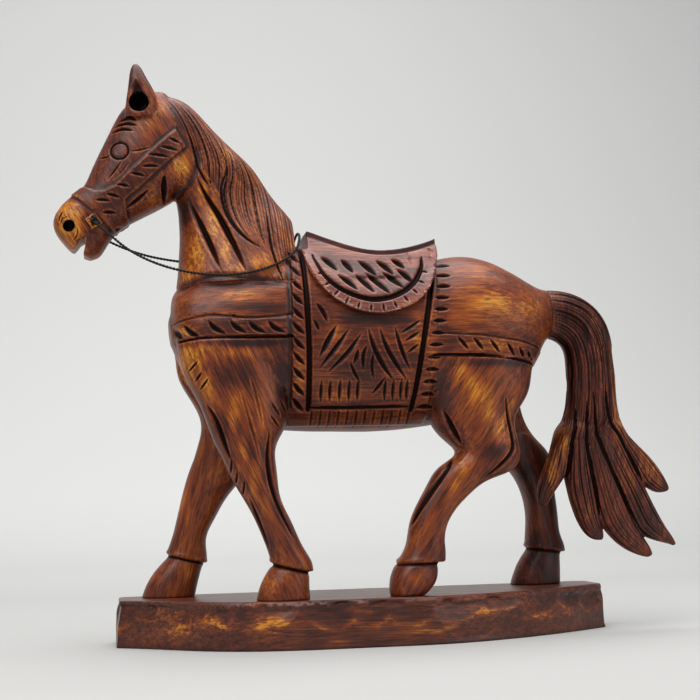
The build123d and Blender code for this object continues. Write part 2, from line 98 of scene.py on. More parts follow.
def copy_of(node, name):
    """Merged copy of a CAD node, at the origin."""
    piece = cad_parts[node].copy()
    piece.data = piece.data.copy()
    piece.name = name
    piece.data.name = name
    piece.parent = None
    for key in list(piece.keys()):
        del piece[key]
    bpy.context.scene.collection.objects.link(piece)
    piece.data.materials.clear()
    pick(piece)
    bpy.ops.object.mode_set(mode="EDIT")
    bpy.ops.mesh.select_all(action="SELECT")
    bpy.ops.mesh.remove_doubles(threshold=1e-6)
    bpy.ops.object.mode_set(mode="OBJECT")
    return piece


def remesh(piece, voxel):
    """Even quads all over, voxel metres across."""
    pick(piece)
    piece.data.remesh_voxel_size = voxel
    piece.data.remesh_voxel_adaptivity = 0
    bpy.ops.object.voxel_remesh()


def positions(piece):
    """Vertex positions as an array."""
    found = np.empty(len(piece.data.vertices) * 3)
    piece.data.vertices.foreach_get("co", found)
    return found.reshape(-1, 3)


def normals(piece):
    """Vertex normals as an array."""
    found = np.empty(len(piece.data.vertices) * 3, np.float32)
    piece.data.vertex_normals.foreach_get("vector", found)
    return found.reshape(-1, 3).astype(float)


def place(piece, spots):
    """Move the vertices to these positions."""
    piece.data.vertices.foreach_set("co", np.asarray(spots, np.float32).ravel())
    piece.data.update()


def edges_of(piece):
    """Vertex pairs of every edge."""
    pairs = np.empty(len(piece.data.edges) * 2, np.int32)
    piece.data.edges.foreach_get("vertices", pairs)
    return pairs.reshape(-1, 2)


def relax(values, pairs, rounds, factor=0.5):
    """Average each vertex with its neighbours, for rounds rounds."""
    count = len(values)
    share = np.bincount(pairs.ravel(), minlength=count).astype(float)
    share[share == 0] = 1
    flat = values.reshape(count, -1).copy()
    for _ in range(rounds):
        for column in range(flat.shape[1]):
            around = np.bincount(pairs[:, 0], flat[pairs[:, 1], column], count)
            around += np.bincount(pairs[:, 1], flat[pairs[:, 0], column], count)
            flat[:, column] += factor * (around / share - flat[:, column])
    return flat.reshape(values.shape)


def store(piece, name, values):
    """Keep one number a vertex under this name."""
    held = piece.data.attributes.get(name) or piece.data.attributes.new(name, "FLOAT", "POINT")
    held.data.foreach_set("value", np.asarray(values, np.float32))


def smooth_step(low, high, values):
    """0 below low, 1 above high, smooth between."""
    t = np.clip((values - low) / (high - low), 0, 1)
    return t * t * (3 - 2 * t)


def bowed(points, steps=5):
    """Smooth curve through a few points."""
    points = np.array(points, float)
    if len(points) < 3:
        return points
    padded = np.vstack([2 * points[0] - points[1], points, 2 * points[-1] - points[-2]])
    found = []
    for i in range(1, len(padded) - 2):
        a, b, c, d = padded[i - 1:i + 3]
        for t in np.arange(steps) / steps:
            straight = 2 * b + (c - a) * t
            bend = (2 * a - 5 * b + 4 * c - d) * t * t + (3 * b - a - 3 * c + d) * t ** 3
            found.append(0.5 * (straight + bend))
    found.append(padded[-2])
    return np.array(found)


def reach(px, pz, line):
    """Distance to a line of points, which side of it, and how far along it."""
    runs = np.diff(line, axis=0)
    lengths = np.maximum(np.hypot(runs[:, 0], runs[:, 1]), 1e-9)
    before = np.concatenate([[0], np.cumsum(lengths)])
    best = np.full(px.shape, 1e9)
    side = np.zeros(px.shape)
    along = np.zeros(px.shape)
    for (x, z), (dx, dz), length, start in zip(line, runs, lengths, before):
        t = np.clip(((px - x) * dx + (pz - z) * dz) / length ** 2, 0, 1)
        ox, oz = px - x - t * dx, pz - z - t * dz
        gap = np.hypot(ox, oz)
        near = gap < best
        best[near] = gap[near]
        side[near] = np.sign(dx * oz - dz * ox)[near]
        along[near] = (start + t * length)[near]
    return best, side, along / before[-1]


# ---------------------------------------------------------------- carving, in millimetres of the side view
class Carving:
    """Collects straps, chip cuts and colour over one side of a piece, then carves them all at once."""

    def __init__(self, piece):
        self.piece = piece
        self.spots = positions(piece) / MM
        self.pairs = edges_of(piece)
        self.facing = relax(normals(piece), self.pairs, 6)
        self.facing /= np.linalg.norm(self.facing, axis=1)[:, None]
        count = len(self.spots)
        self.depth = np.zeros(count)
        self.rise = np.zeros(count)
        # cut: black of the stain gathered in cuts and holes, darkened further as painted shade
        self.cut = np.zeros(count)
        # rim: paler edges, worn and painted as a highlight
        self.rim = np.zeros(count)
        # shade: darker stain, and painted shade in creases, hollows and under edges
        self.shade = np.zeros(count)
        self.amber = np.zeros(count)

    def near(self, side, points, margin, flat=0.12):
        """Vertices of that side around these points, with how squarely each faces out."""
        x, y, z = self.spots.T
        low, high = np.min(points, axis=0) - margin, np.max(points, axis=0) + margin
        square_on = self.facing[:, 1] * side
        chosen = (x > low[0]) & (x < high[0]) & (z > low[1]) & (z < high[1])
        chosen &= (square_on > flat) & (y * side > 2)
        chosen = np.nonzero(chosen)[0]
        return chosen, smooth_step(flat, flat + 0.25, square_on[chosen])

    def chip(self, points, width, depth, side=-1, taper=0.7, lean=0.0, flat=0.12, dark=1.0, rim=0.8):
        """V cut along a line, widest at its middle and running out at both ends."""
        line = bowed(points)
        chosen, weight = self.near(side, line, width + 2, flat)
        if not len(chosen):
            return
        gap, hand, along = reach(self.spots[chosen, 0], self.spots[chosen, 2], line)
        full = 0.5 * width * np.sin(np.pi * np.clip(along, 0.001, 0.999)) ** taper
        half = np.maximum(full * (1 + lean * hand), 0.05)
        deep = np.clip(1 - gap / half, 0, 1) * full / (0.5 * width) * weight
        self.depth[chosen] = np.maximum(self.depth[chosen], depth * deep)
        # Cut blackened: the stain gathered there, darkened further as painted shade.
        self.cut[chosen] = np.maximum(self.cut[chosen], np.clip(deep * 2.4 - 0.25, 0, 1) * dark)
        self.edge(chosen, gap - half, weight * np.clip(full * 2.5, 0, 1), rim, dark)

    def gouge(self, points, width, depth, side=-1, taper=0.25, flat=0.12, dark=1.0, rim=0.6):
        """Round-bottomed groove along a line."""
        line = bowed(points)
        chosen, weight = self.near(side, line, width + 2, flat)
        if not len(chosen):
            return
        gap, _, along = reach(self.spots[chosen, 0], self.spots[chosen, 2], line)
        half = 0.5 * width * np.sin(np.pi * np.clip(along, 0.001, 0.999)) ** taper + 0.01
        deep = np.sqrt(np.clip(1 - (gap / half) ** 2, 0, 1)) * weight
        reached = np.clip(half / (0.4 * width), 0, 1)
        self.depth[chosen] = np.maximum(self.depth[chosen], depth * deep * reached)
        # Groove blackened: the stain gathered there, darkened further as painted shade.
        self.cut[chosen] = np.maximum(self.cut[chosen], np.clip(deep * 1.5 - 0.2, 0, 1) * dark)
        self.edge(chosen, gap - half, weight * reached, rim, dark)

    def edge(self, chosen, out, weight, rim, dark):
        """Rub the edge of a cut back to paler wood, painted paler still as a highlight, and let the stain
        gather a little further out.
        """
        pale = np.exp(-(((out - 0.25) / 0.3) ** 2)) * weight * rim
        self.rim[chosen] = np.maximum(self.rim[chosen], pale)
        stained = np.exp(-((np.clip(out - 0.9, 0, None) / 1.3) ** 2)) * weight * 0.3 * dark
        self.shade[chosen] = np.maximum(self.shade[chosen], stained)

    def band(self, start, end, width, depth, side, overhang=0.5):
        """Groove all round a limb along a line in side view, with the wood above it left overhanging."""
        x, y, z = self.spots.T
        start, end = np.array(start), np.array(end)
        run = end - start
        length = np.hypot(*run)
        along = ((x - start[0]) * run[0] + (z - start[1]) * run[1]) / length
        above = ((z - start[1]) * run[0] - (x - start[0]) * run[1]) / length
        here = (along > -4) & (along < length + 4) & (y * side > 2)
        self.depth += np.where(here, depth * np.exp(-((above / (0.5 * width)) ** 2)), 0)
        lip = np.where(here, overhang * np.exp(-(((above - 1.6) / 1.0) ** 2)), 0)
        self.rise = np.maximum(self.rise, lip)
        # Groove blackened: stain gathered under the lip, darkened further as painted shade; the lip's edge
        # paler, worn and painted as a highlight.
        self.cut = np.maximum(self.cut, np.where(here, np.exp(-(((above + 0.2) / (0.4 * width)) ** 2)), 0))
        self.rim = np.maximum(self.rim, np.where(here, 0.7 * np.exp(-(((above - 1.3) / 0.5) ** 2)), 0))

    def bore(self, x, z, radius):
        """Blacken the inside of a drilled hole: the stain gathered there, darkened further as painted
        shade.
        """
        gap = np.hypot(self.spots[:, 0] - x, self.spots[:, 2] - z)
        self.cut = np.maximum(self.cut, 1 - smooth_step(radius - 0.1, radius + 0.3, gap))

    def hollow(self, points, width, depth, side=-1, flat=0.12, dark=0.5):
        """Soft wide hollow, with painted shade in it."""
        line = bowed(points)
        chosen, weight = self.near(side, line, width, flat)
        gap, _, along = reach(self.spots[chosen, 0], self.spots[chosen, 2], line)
        ends = smooth_step(0, 0.12, along) * smooth_step(0, 0.12, 1 - along)
        soft = (1 - smooth_step(0, 0.5 * width, gap)) * ends * weight
        self.depth[chosen] += depth * soft
        self.shade[chosen] = np.maximum(self.shade[chosen], soft * dark)

    def within(self, outline, side, flat):
        """Vertices near an outline, how squarely they face out, and how far inside it each one is."""
        ring = np.array(list(outline) + [outline[0]], float)
        chosen, weight = self.near(side, ring, 3.0, flat)
        px, pz = self.spots[chosen, 0], self.spots[chosen, 2]
        inside = np.zeros(len(chosen), bool)
        for (x1, z1), (x2, z2) in zip(ring, ring[1:]):
            if z1 != z2:
                inside ^= ((z1 > pz) != (z2 > pz)) & (px < (x2 - x1) * (pz - z1) / (z2 - z1) + x1)
        gap, _, _ = reach(px, pz, ring)
        return chosen, weight, np.where(inside, gap, -gap)

    def darken(self, outline, amount, side=-1, soft=2.0, flat=-0.3):
        """Darker stain inside an outline."""
        chosen, weight, signed = self.within(outline, side, flat)
        self.shade[chosen] = np.maximum(self.shade[chosen],
                                        amount * smooth_step(-soft, soft, signed) * weight)

    def strap(self, outline, rise, side=-1, edge=0.7, flat=0.05, dark=0.0):
        """Raise the wood inside an outline by rise, with a short slope at its edge."""
        chosen, weight, signed = self.within(outline, side, flat)
        lift = smooth_step(-0.5 * edge, 0.5 * edge, signed) * weight
        self.rise[chosen] = np.maximum(self.rise[chosen], rise * lift)
        # Painted shade in the crease at the strap's foot, and a paler crest, worn and painted as a
        # highlight.
        foot = np.exp(-(((signed + 0.7) / 0.8) ** 2)) * weight
        self.shade[chosen] = np.maximum(self.shade[chosen], foot * 0.9)
        crest = np.exp(-(((signed - 0.6) / 0.4) ** 2)) * weight
        self.rim[chosen] = np.maximum(self.rim[chosen], 0.8 * crest)
        self.shade[chosen] = np.maximum(self.shade[chosen], dark * lift)

    def stain(self, patches, side=0):
        """Lighter amber where the stain is rubbed through, and painted shade where the amount is below
        zero: x, z, reach in x, reach in z, amount.
        """
        x, y, z = self.spots.T
        for px, pz, rx, rz, amount in patches:
            spread = np.exp(-(((x - px) / rx) ** 2) - (((z - pz) / rz) ** 2)) * amount
            if side:
                spread = spread * (y * side > 0)
            if amount > 0:
                self.amber = np.maximum(self.amber, spread)
            else:
                self.shade = np.maximum(self.shade, -spread)

    def finish(self):
        """Move the wood, and keep the marks for the stain, the painted shade and the painted highlights."""
        push = relax((self.rise - self.depth) * MM, self.pairs, 1)
        place(self.piece, self.spots * MM + self.facing * push[:, None])
        for name in ("cut", "rim", "shade", "amber"):
            store(self.piece, name, getattr(self, name))


# ---------------------------------------------------------------- the horse's cuts, x and z in millimetres
FOREHEAD = [[(-119, 255.6), (-114, 256.2), (-108.6, 255.2)],
            [(-121, 252.9), (-115, 253.8), (-108.4, 252.4)],
            [(-122.8, 250), (-116.5, 251), (-110.2, 249.6)]]
EYE = (-118.0, 240.0, 4.2)
EAR_BORE = (-108.4, 264.2, 4.8)
NOSTRIL_BORE = (-142.2, 203.4, 2.8)
HEAD_STAIN = [
    ([(-126, 262), (-104, 260), (-92, 250), (-112, 232), (-128, 220), (-140, 224)], 0.18),
    ([(-118, 285), (-100, 285), (-99, 272), (-117, 270)], 0.4),
    ([(-134, 212), (-120, 216), (-108, 214), (-122, 186), (-136, 190)], 0.3),
]
EYE_LINES = [[(-113.8, 239.4), (-108.9, 239.9), (-102, 241.7)],
             [(-121.6, 238.4), (-124.6, 237.5), (-128.4, 237.6)]]
CHEEK_STRAP = [(-90.8, 251.4), (-100.2, 242.5), (-108.2, 234.5), (-114.3, 229), (-120.4, 222.8),
               (-125.4, 220.4),
               (-130.4, 220.5), (-134.5, 223), (-139.5, 223.5), (-141, 219.5), (-136, 215), (-131, 211),
               (-127.2, 207),
               (-122.4, 203), (-116.5, 199), (-112, 204), (-114.6, 209), (-115.3, 216), (-107.8, 222.5),
               (-99.9, 229.9), (-91.9, 237.3), (-85.8, 243)]
CHEEK_CHIPS = [[(-94.6, 246.4), (-88.9, 244.1)], [(-98.9, 241.9), (-89.3, 240.2)],
               [(-104.8, 237.8), (-94, 236.8)],
               [(-107.4, 231.8), (-98.8, 232)], [(-113, 228.6), (-105.5, 227)],
               [(-119.6, 223.2), (-112.9, 221.9)],
               [(-129.8, 215.6), (-122.2, 215.2)], [(-124.7, 218.6), (-117.6, 216.8)],
               [(-126.6, 209.6), (-119.6, 209.8)],
               [(-121.1, 202.6), (-115.6, 203.4)]]
BIT = (-130.4, 205.8, 3.6)
NECK_CUTS = [([(-84.6, 217), (-80, 206), (-75.5, 195), (-69.8, 178.5)], 4.0, 2.6),
             ([(-81.4, 230), (-77, 219.9), (-70.4, 208.4), (-63.6, 193), (-57.4, 176)], 4.2, 2.8)]
MANE_STAIN = [(-98, 268), (-78, 264), (-56, 240), (-40, 222), (-31, 206), (-33, 176), (-44, 176),
              (-52, 192),
              (-72, 216), (-80, 238)]
MANE = [  # front line and back line of each lock, strands between them
    ([(-96, 269.5), (-90, 262), (-84.6, 251), (-81.6, 240), (-79.4, 231), (-74, 222)],
     [(-84, 266), (-76, 257.5), (-70, 249), (-65.5, 239), (-64, 229), (-66.5, 218), (-69.6, 216)], 13),
    ([(-73, 255), (-67.5, 246), (-66, 233), (-69, 221), (-66, 207), (-59, 197), (-50, 190.5)],
     [(-58.5, 240.5), (-54, 232), (-50, 222), (-48.2, 207), (-47.6, 197), (-47.2, 190)], 15),
    ([(-52, 234), (-48, 224), (-46.6, 208), (-45.6, 193), (-43.4, 183), (-40.4, 173)],
     [(-38.5, 215), (-35.6, 209), (-34.6, 200), (-34.2, 190), (-34, 180), (-34.4, 174)], 9),
]
COLLAR = [(-97, 153.6), (-90, 155.2), (-82, 156.8), (-75, 157.4), (-59, 155.9), (-47, 156.4), (-37, 157.6),
          (-37, 146.4), (-60, 146.4), (-77, 146.4), (-89, 145.4), (-97, 144.6)]
COLLAR_CHIPS = [[(-89, 153.6), (-86, 149), (-80.6, 146.2)], [(-77.6, 155), (-74.6, 150.4), (-68.6, 147.4)],
                [(-67.4, 154.8), (-64.4, 150.6), (-58.6, 147.6)],
                [(-58.8, 154.6), (-55.6, 150.4), (-49.6, 147.6)],
                [(-49.6, 154.8), (-46.4, 150.4), (-40.4, 147.8)],
                [(-93, 152.6), (-91.6, 149), (-88.6, 146)]]
BREECHING = [(31, 148.4), (44, 147.6), (55, 147.2), (66, 145.7), (76, 144.6), (90, 141.4), (97, 139.4),
             (97, 131), (84, 133.2), (68, 136), (55, 137), (31, 137)]
BREECHING_CHIPS = [[(42.5, 146.4), (49, 139)], [(50.5, 146), (56.6, 138.8)], [(59.2, 145), (65, 137.8)],
                   [(68.2, 143.8), (73.2, 136.4)], [(75.2, 141.8), (79, 134.8)], [(80.6, 140), (83.2, 134)]]
BLANKET_GROOVE = [(-30.6, 194), (-30.2, 170), (-29.6, 140), (-29.4, 111.5)]
REAR_GROOVE = [(33.6, 182), (31.6, 171), (28.6, 156), (26, 142), (23.6, 127), (21.2, 110.5)]
FRONT_EDGE = [(-37.6, 192), (-38.4, 160), (-38.8, 135), (-38.6, 106)]
PANEL_CUTS = [  # long cuts that fan over the blanket's panel, with their width
    ([(-26.2, 163.4), (-22.6, 157.6), (-20.4, 152.2)], 2.0), ([(-27.6, 155), (-24.6, 148.4)], 1.6),
    ([(-15.8, 152.6), (-20.6, 145), (-25.2, 135.6)], 2.6),
    ([(-9.6, 151), (-17.2, 141), (-25.6, 130.3)], 2.2),
    ([(-3.8, 148.6), (-12, 138), (-21.4, 128.8)], 2.1),
    ([(-1.3, 151.5), (1.2, 141.4), (5.8, 132), (12.8, 123.2)], 2.3),
    ([(4.4, 151.5), (7, 142.2), (12, 133), (18.6, 124)], 2.2),
    ([(11.8, 152), (13.7, 143.6), (16.4, 135.7), (19.8, 129)], 1.9),
    ([(25.6, 154.6), (14.2, 147.4)], 1.6), ([(25.2, 149.2), (16.2, 143.6)], 1.5),
    ([(24.2, 143), (17.4, 138)], 1.4),
    ([(-1.3, 143), (-3.9, 137.4), (-3.8, 129.2)], 1.7), ([(-10.4, 135), (-8.4, 129.3), (-4.6, 123.4)], 1.6),
    ([(-6, 140.6), (-8.4, 132.6)], 1.8), ([(1.5, 139.6), (0.3, 132), (1.6, 125)], 1.5),
    ([(7.8, 127.6), (0.2, 118)], 1.4),
]
PANEL_TEETH_X = (-23.6, -19.3, -14.6, -10.1, -5.9, 7.4, 11.4, 15.3, 18.3)
HEM_GROOVE = [(-29.5, 112.7), (-10, 112.5), (19.4, 112.7)]
HEM_TEETH = (-27.6, 4.35, 12)           # first x, spacing, count
CHEST_CUTS = [  # three small cuts on each side of the breast: line, width and depth
    ([(-82.3, 135.5), (-86.6, 130.4)], 1.5, 0.9), ([(-80.4, 130.4), (-83.7, 125.4)], 1.5, 0.9),
    ([(-77.4, 127.2), (-81.6, 121.4)], 1.5, 0.9),
]
LEFT_LEG_CUTS = CHEST_CUTS + [
    ([(-78.4, 115), (-74, 106.2), (-69.9, 94), (-67.4, 87.8)], 3.0, 1.9),
    ([(-67.2, 89.8), (-67.6, 81)], 1.2, 0.9), ([(-64.8, 83.4), (-65.2, 76)], 1.2, 0.9),
    ([(-61.6, 79), (-62, 71.4)], 1.2, 0.9),
    ([(-59.6, 71.4), (-54.6, 59), (-49.8, 46)], 1.6, 0.9),
    ([(-49, 103), (-50.2, 86), (-46.6, 69.3), (-37.6, 49.4)], 3.0, 1.7),
    ([(-43.4, 117), (-39.8, 109)], 1.4, 0.9), ([(-48, 115.4), (-43.4, 108.2)], 1.4, 0.9),
    ([(-48.8, 109.4), (-43.6, 102.8)], 1.4, 0.9),
    ([(-58, 128), (-55, 116), (-52.6, 104)], 1.6, 0.35), ([(-63, 122), (-58, 104), (-54, 88)], 1.6, 0.35),
    ([(35.6, 111), (39.6, 101.8), (44, 93.6)], 3.0, 1.8),
    ([(43.6, 92), (34.6, 79.6), (24, 65.4), (15.8, 51)], 2.6, 1.5),
    ([(66.4, 117.5), (67.8, 107), (69.6, 97), (68.6, 89.8), (61.6, 82.8), (53.8, 76.6)], 3.0, 1.6),
]
RIGHT_LEG_CUTS = CHEST_CUTS + [
    ([(-72, 118), (-74.6, 103), (-78.4, 86), (-82, 72)], 3.0, 1.7),
    ([(-86.4, 86), (-88.8, 72)], 1.4, 0.9), ([(-48.6, 108), (-60, 88), (-70, 70), (-77.4, 50)], 2.8, 1.5),
    ([(-43.4, 117), (-41, 109)], 1.4, 0.9), ([(-48, 115.4), (-45.4, 108.2)], 1.4, 0.9),
    ([(46, 112), (60, 101), (76, 92)], 2.8, 1.6), ([(81, 90), (90, 76), (94.6, 58), (93.6, 46)], 2.6, 1.4),
    ([(84, 114), (93, 100), (102, 88), (104.4, 70)], 2.8, 1.5),
    ([(52, 128), (64, 112), (76, 99)], 1.8, 0.35),
]
HOOF_LINES = {  # groove above each hoof, on the left (-1) and on the right (1)
    -1: [((-50, 39.4), (-29, 34.2)), ((9.5, 37.6), (34, 37))],
    1: [((-97, 43.4), (-76, 38)), ((90, 41.2), (111, 38))],
}
SEAT_LINE = [(-27.4, 200.8), (-9, 194.6), (6, 191.6), (22, 192.8), (37.6, 197.6)]
SADDLE_RING = [(-25.4, 188), (-24.6, 184.5), (-20, 175.5), (-11.8, 168.8), (0.4, 164.6), (11.8, 166),
               (21.4, 171.6), (27.4, 180), (29, 187)]
SADDLE_CHIPS = [[(-21.6, 186.6), (-13.6, 179)], [(-11.8, 185.2), (-6.2, 178)],
                [(-3.4, 184.6), (5.6, 176.2)],
                [(5.5, 184.8), (14.1, 177)], [(13, 185.8), (20, 180.4)], [(-14.5, 177.2), (-4.6, 168.8)],
                [(-5.6, 177), (3.4, 167.4)], [(-0.7, 178), (11.3, 166.6)], [(7.7, 178.6), (18.2, 169.8)],
                [(15.2, 180.4), (23.3, 172.3)]]
AMBER = [  # x, z, reach in x, reach in z, amount
    (-141, 206, 8, 12, 1.0), (-131, 213, 5, 4, 0.5), (-130.4, 205.8, 4, 3.6, 1.3), (-88, 231, 5, 9, 1.0),
    (-101, 218, 9, 4, 0.6), (-103, 253, 8, 6, 0.7),
    (-97, 262, 4, 7, 0.5), (-78, 221, 3, 8, 1.1), (-73, 206, 3, 10, 1.1), (-67, 190, 4, 9, 1.0),
    (-63, 180, 5, 5, 0.8),
    (-81, 190, 3, 12, 0.6), (-85, 179, 5, 6, 0.8), (-50, 183, 9, 6, 0.7), (-62, 166, 15, 4, 0.5),
    (-85, 137, 6, 9, 1.0),
    (-78, 142, 12, 3, 0.9), (-64, 139, 14, 3, 0.6), (-78, 125, 4, 6, 0.6), (-66, 110, 3, 13, 0.7),
    (-62, 93, 3, 10, 0.9),
    (-57, 80, 3, 9, 0.9), (-52, 66, 3, 8, 0.5), (-88, 150, 4, 3, 0.9), (62, 165, 14, 8, 0.8),
    (56, 178, 10, 8, 0.4),
    (80, 160, 8, 6, 0.6), (60, 142, 16, 3, 0.7), (44, 131, 4, 7, 0.8), (50, 121, 4, 8, 1.0),
    (57, 111, 4, 8, 1.0),
    (64, 101, 4, 8, 0.8), (70, 110, 3, 6, 0.5), (43, 83, 4, 5, 0.8), (38, 76, 4, 5, 0.7),
    (-17, 150, 4, 7, 0.7),
    (24, 150, 3, 10, 0.7), (-12, 107, 3, 5, 0.5), (4, 107, 3, 5, 0.5), (16, 107, 3, 5, 0.5),
    (-16, 120, 6, 5, 0.5),
    (30, 145, 3, 20, 0.5), (-34, 122, 2, 12, 0.4), (-66, 238, 3, 10, 0.5), (-52, 212, 3, 10, 0.4),
    (-88, 70, 4, 10, 0.4),
    (-50, 30, 3, 4, 0.6), (18, 30, 4, 3, 0.5), (96, 52, 4, 6, 0.4), (-86, 35, 3, 4, 0.3),
]
# Painted shade in creases, hollows and under edges, as AMBER with amounts below zero.
PAINTED_SHADE_PATCHES = [
    (-86, 212, 4, 9, -0.9), (-90, 226, 4, 5, -0.6), (-113, 233, 9, 6, -0.5), (-126, 222, 8, 4, -0.6),
    (-60, 161, 26, 2.6, -0.6),
    (-60, 143.5, 28, 2.0, -0.8), (60, 133.5, 26, 2.2, -0.7), (-42, 126, 4, 24, -0.7),
    (36, 118, 5, 16, -0.6), (-60, 156, 26, 1.2, -0.5),
    (2, 154.5, 20, 3, -0.8), (84, 122, 6, 9, -0.5), (-58, 172, 26, 2, -0.6), (0, 136, 6, 10, -0.5),
    (60, 90, 9, 5, -0.6), (-40, 64, 3, 14, -0.5), (-66, 126, 9, 6, -0.45), (-70, 152, 20, 5, -0.3),
]


def carve_straps(work, side):
    """Bridle, collar and breeching strap, with their chips."""
    work.strap(CHEEK_STRAP, 0.9, side, edge=0.8, dark=0.4)
    for line in CHEEK_CHIPS:
        work.chip(line, 2.1, 1.0, side, taper=0.55, lean=0.35, rim=1.0)
    for outline in (COLLAR, BREECHING):
        work.darken(outline, 0.22, side, soft=1.0)
        work.gouge(outline[:7], 1.5, 0.7, side, taper=0.1, dark=0.55)
        work.gouge(outline[7:], 1.7, 1.3, side, taper=0.1, dark=0.9)
    for line in COLLAR_CHIPS:
        work.chip(line, 3.3, 1.5, side, lean=0.35)
    for line in BREECHING_CHIPS:
        work.chip(line, 2.4, 1.2, side, lean=0.3)


def carve_head(work, side):
    """Brow, eye, cheek, nose and jaw."""
    for outline, amount in HEAD_STAIN:
        work.darken(outline, amount, side)
    for line in FOREHEAD:
        work.chip(line, 2.2, 1.1, side, lean=0.3)
    work.chip([(-109.8, 276), (-109, 270), (-108.4, 261)], 8.6, 2.0, side, taper=0.8, dark=0.7)
    for x, z, radius in (EAR_BORE, NOSTRIL_BORE):
        work.bore(x, z, radius)
    x, z, radius = EYE
    turns = np.linspace(0.1, 2 * math.pi + 0.1, 25)
    ring = [(x + radius * math.cos(a), z + radius * math.sin(a)) for a in turns]
    work.gouge(ring, 1.15, 0.9, side, taper=0.05)
    for line in EYE_LINES:
        work.chip(line, 1.2, 0.8, side)
    work.chip([(-116.4, 235.4), (-120, 230.4), (-124.4, 225)], 1.2, 0.5, side)
    work.chip([(-112.4, 236), (-116.5, 230), (-121.5, 225)], 1.0, 0.35, side, dark=0.6)
    work.gouge([(-96.2, 228), (-96.3, 221), (-95.4, 214.6)], 3.2, 1.5, side, taper=0.5)
    work.chip([(-103.2, 221.6), (-109, 216.4), (-115.4, 211.6)], 2.2, 1.1, side)
    work.chip([(-144.6, 211.4), (-146.6, 208.6), (-147, 205.4)], 1.2, 0.6, side, flat=0.4)
    work.hollow([(-80.5, 246), (-80.4, 234), (-85, 224.5), (-92, 218), (-99, 213.6)], 7, 1.2, side,
                dark=0.8)
    x, z, radius = BIT
    diamond = [(x - 4.6, z + 0.6), (x + 0.6, z + 4.4), (x + 4.8, z - 1.2), (x - 0.8, z - 4.4),
               (x - 4.6, z + 0.6)]
    work.strap(diamond[:4], 0.5, side, edge=0.7)
    for start, end in zip(diamond, diamond[1:]):
        work.chip([start, end], 1.0, 0.6, side, taper=0.3, dark=0.7)
    work.chip([(-146.4, 203.6), (-145.4, 207), (-141.8, 208)], 1.1, 0.5, side, dark=0.7)
    work.chip([(-138, 203.6), (-138.4, 198.6), (-141, 195.6)], 1.1, 0.5, side, dark=0.7)


def carve_mane(work, side, rng):
    """Two long neck cuts and three locks of strands."""
    work.darken(MANE_STAIN, 0.12, side)
    for line, width, depth in NECK_CUTS:
        work.chip(line, width, depth, side, lean=-0.2)
    work.hollow([(-94, 169), (-86, 174), (-74, 176.5), (-60, 175.5), (-48, 174), (-36, 172.6)], 6.5, 1.3,
                side, dark=0.8)
    for front, back, count in MANE:
        front, back = bowed(front, 4), bowed(back, 4)
        along = np.linspace(0, 1, 9)
        front = np.array([np.interp(along, np.linspace(0, 1, len(front)), front[:, i]) for i in (0, 1)]).T
        back = np.array([np.interp(along, np.linspace(0, 1, len(back)), back[:, i]) for i in (0, 1)]).T
        for i in range(count):
            share = (i + rng.uniform(-0.3, 0.3)) / (count - 1)
            line = front + (back - front) * share
            first = int(rng.choice([0, 0, 0, 1, 2]))
            last = 9 - int(rng.choice([0, 0, 1, 2]))
            width, depth = rng.uniform(0.9, 1.4), rng.uniform(0.4, 0.85)
            dark = rng.uniform(0.35, 0.9)
            work.chip(line[first:last], width, depth, side, taper=0.4, flat=0.0, dark=dark, rim=0.7)
        work.gouge(front[3:], 1.6, 1.1, side, taper=0.5, rim=0.2)


def carve_blanket(work, side):
    """Blanket: edged bands, panel fans, teeth and hem."""
    work.darken([(-37, 200), (34, 200), (30, 150), (20, 104), (-37, 104)], 0.2, side, soft=1.0)
    work.hollow(FRONT_EDGE, 4.5, 0.9, side, dark=0.9)
    work.gouge(BLANKET_GROOVE, 3.0, 1.9, side, taper=0.08)
    work.gouge(REAR_GROOVE, 3.0, 1.9, side, taper=0.08)
    for step in range(11):
        z = 189.5 - 7.2 * step
        work.chip([(-38, z + 0.6), (-35, z - 3.6), (-31.2, z - 6.8)], 3.0, 1.5, side, lean=0.35)
    for step in range(13):
        z = 183 - 5.9 * step
        groove_x = np.interp(z, [p[1] for p in REAR_GROOVE[::-1]], [p[0] for p in REAR_GROOVE[::-1]])
        work.chip([(groove_x + 2.6, z), (groove_x + 10.4, z + 0.2)], 2.8, 1.3, side, taper=0.5, lean=0.35)
    for line, width in PANEL_CUTS:
        work.chip(line, width * 1.35, 0.62 * width, side, lean=0.35)
    for x in PANEL_TEETH_X:
        work.chip([(x, 126.6), (x - 0.5, 120), (x, 114.6)], 2.3, 1.1, side, lean=0.35, dark=0.8)
    work.gouge(HEM_GROOVE, 1.9, 1.4, side, taper=0.3)
    first, spacing, count = HEM_TEETH
    for step in range(count):
        x = first + spacing * step
        work.chip([(x, 112), (x, 108), (x + 0.2, 103.6)], 1.8, 0.9, side, taper=0.45, lean=0.35, flat=0.0,
                  dark=0.6)


def hew_facets(work, rng, count, depth):
    """Shallow flats left by the gouge, all over."""
    x, y, z = work.spots.T
    wave = np.zeros(len(x))
    for _ in range(count):
        heading = rng.normal(size=3)
        heading *= rng.uniform(0.25, 0.6) / np.linalg.norm(heading)
        wave += np.sin(x * heading[0] + y * heading[1] + z * heading[2] + rng.uniform(0, 6.28))
    work.depth += depth * wave / count


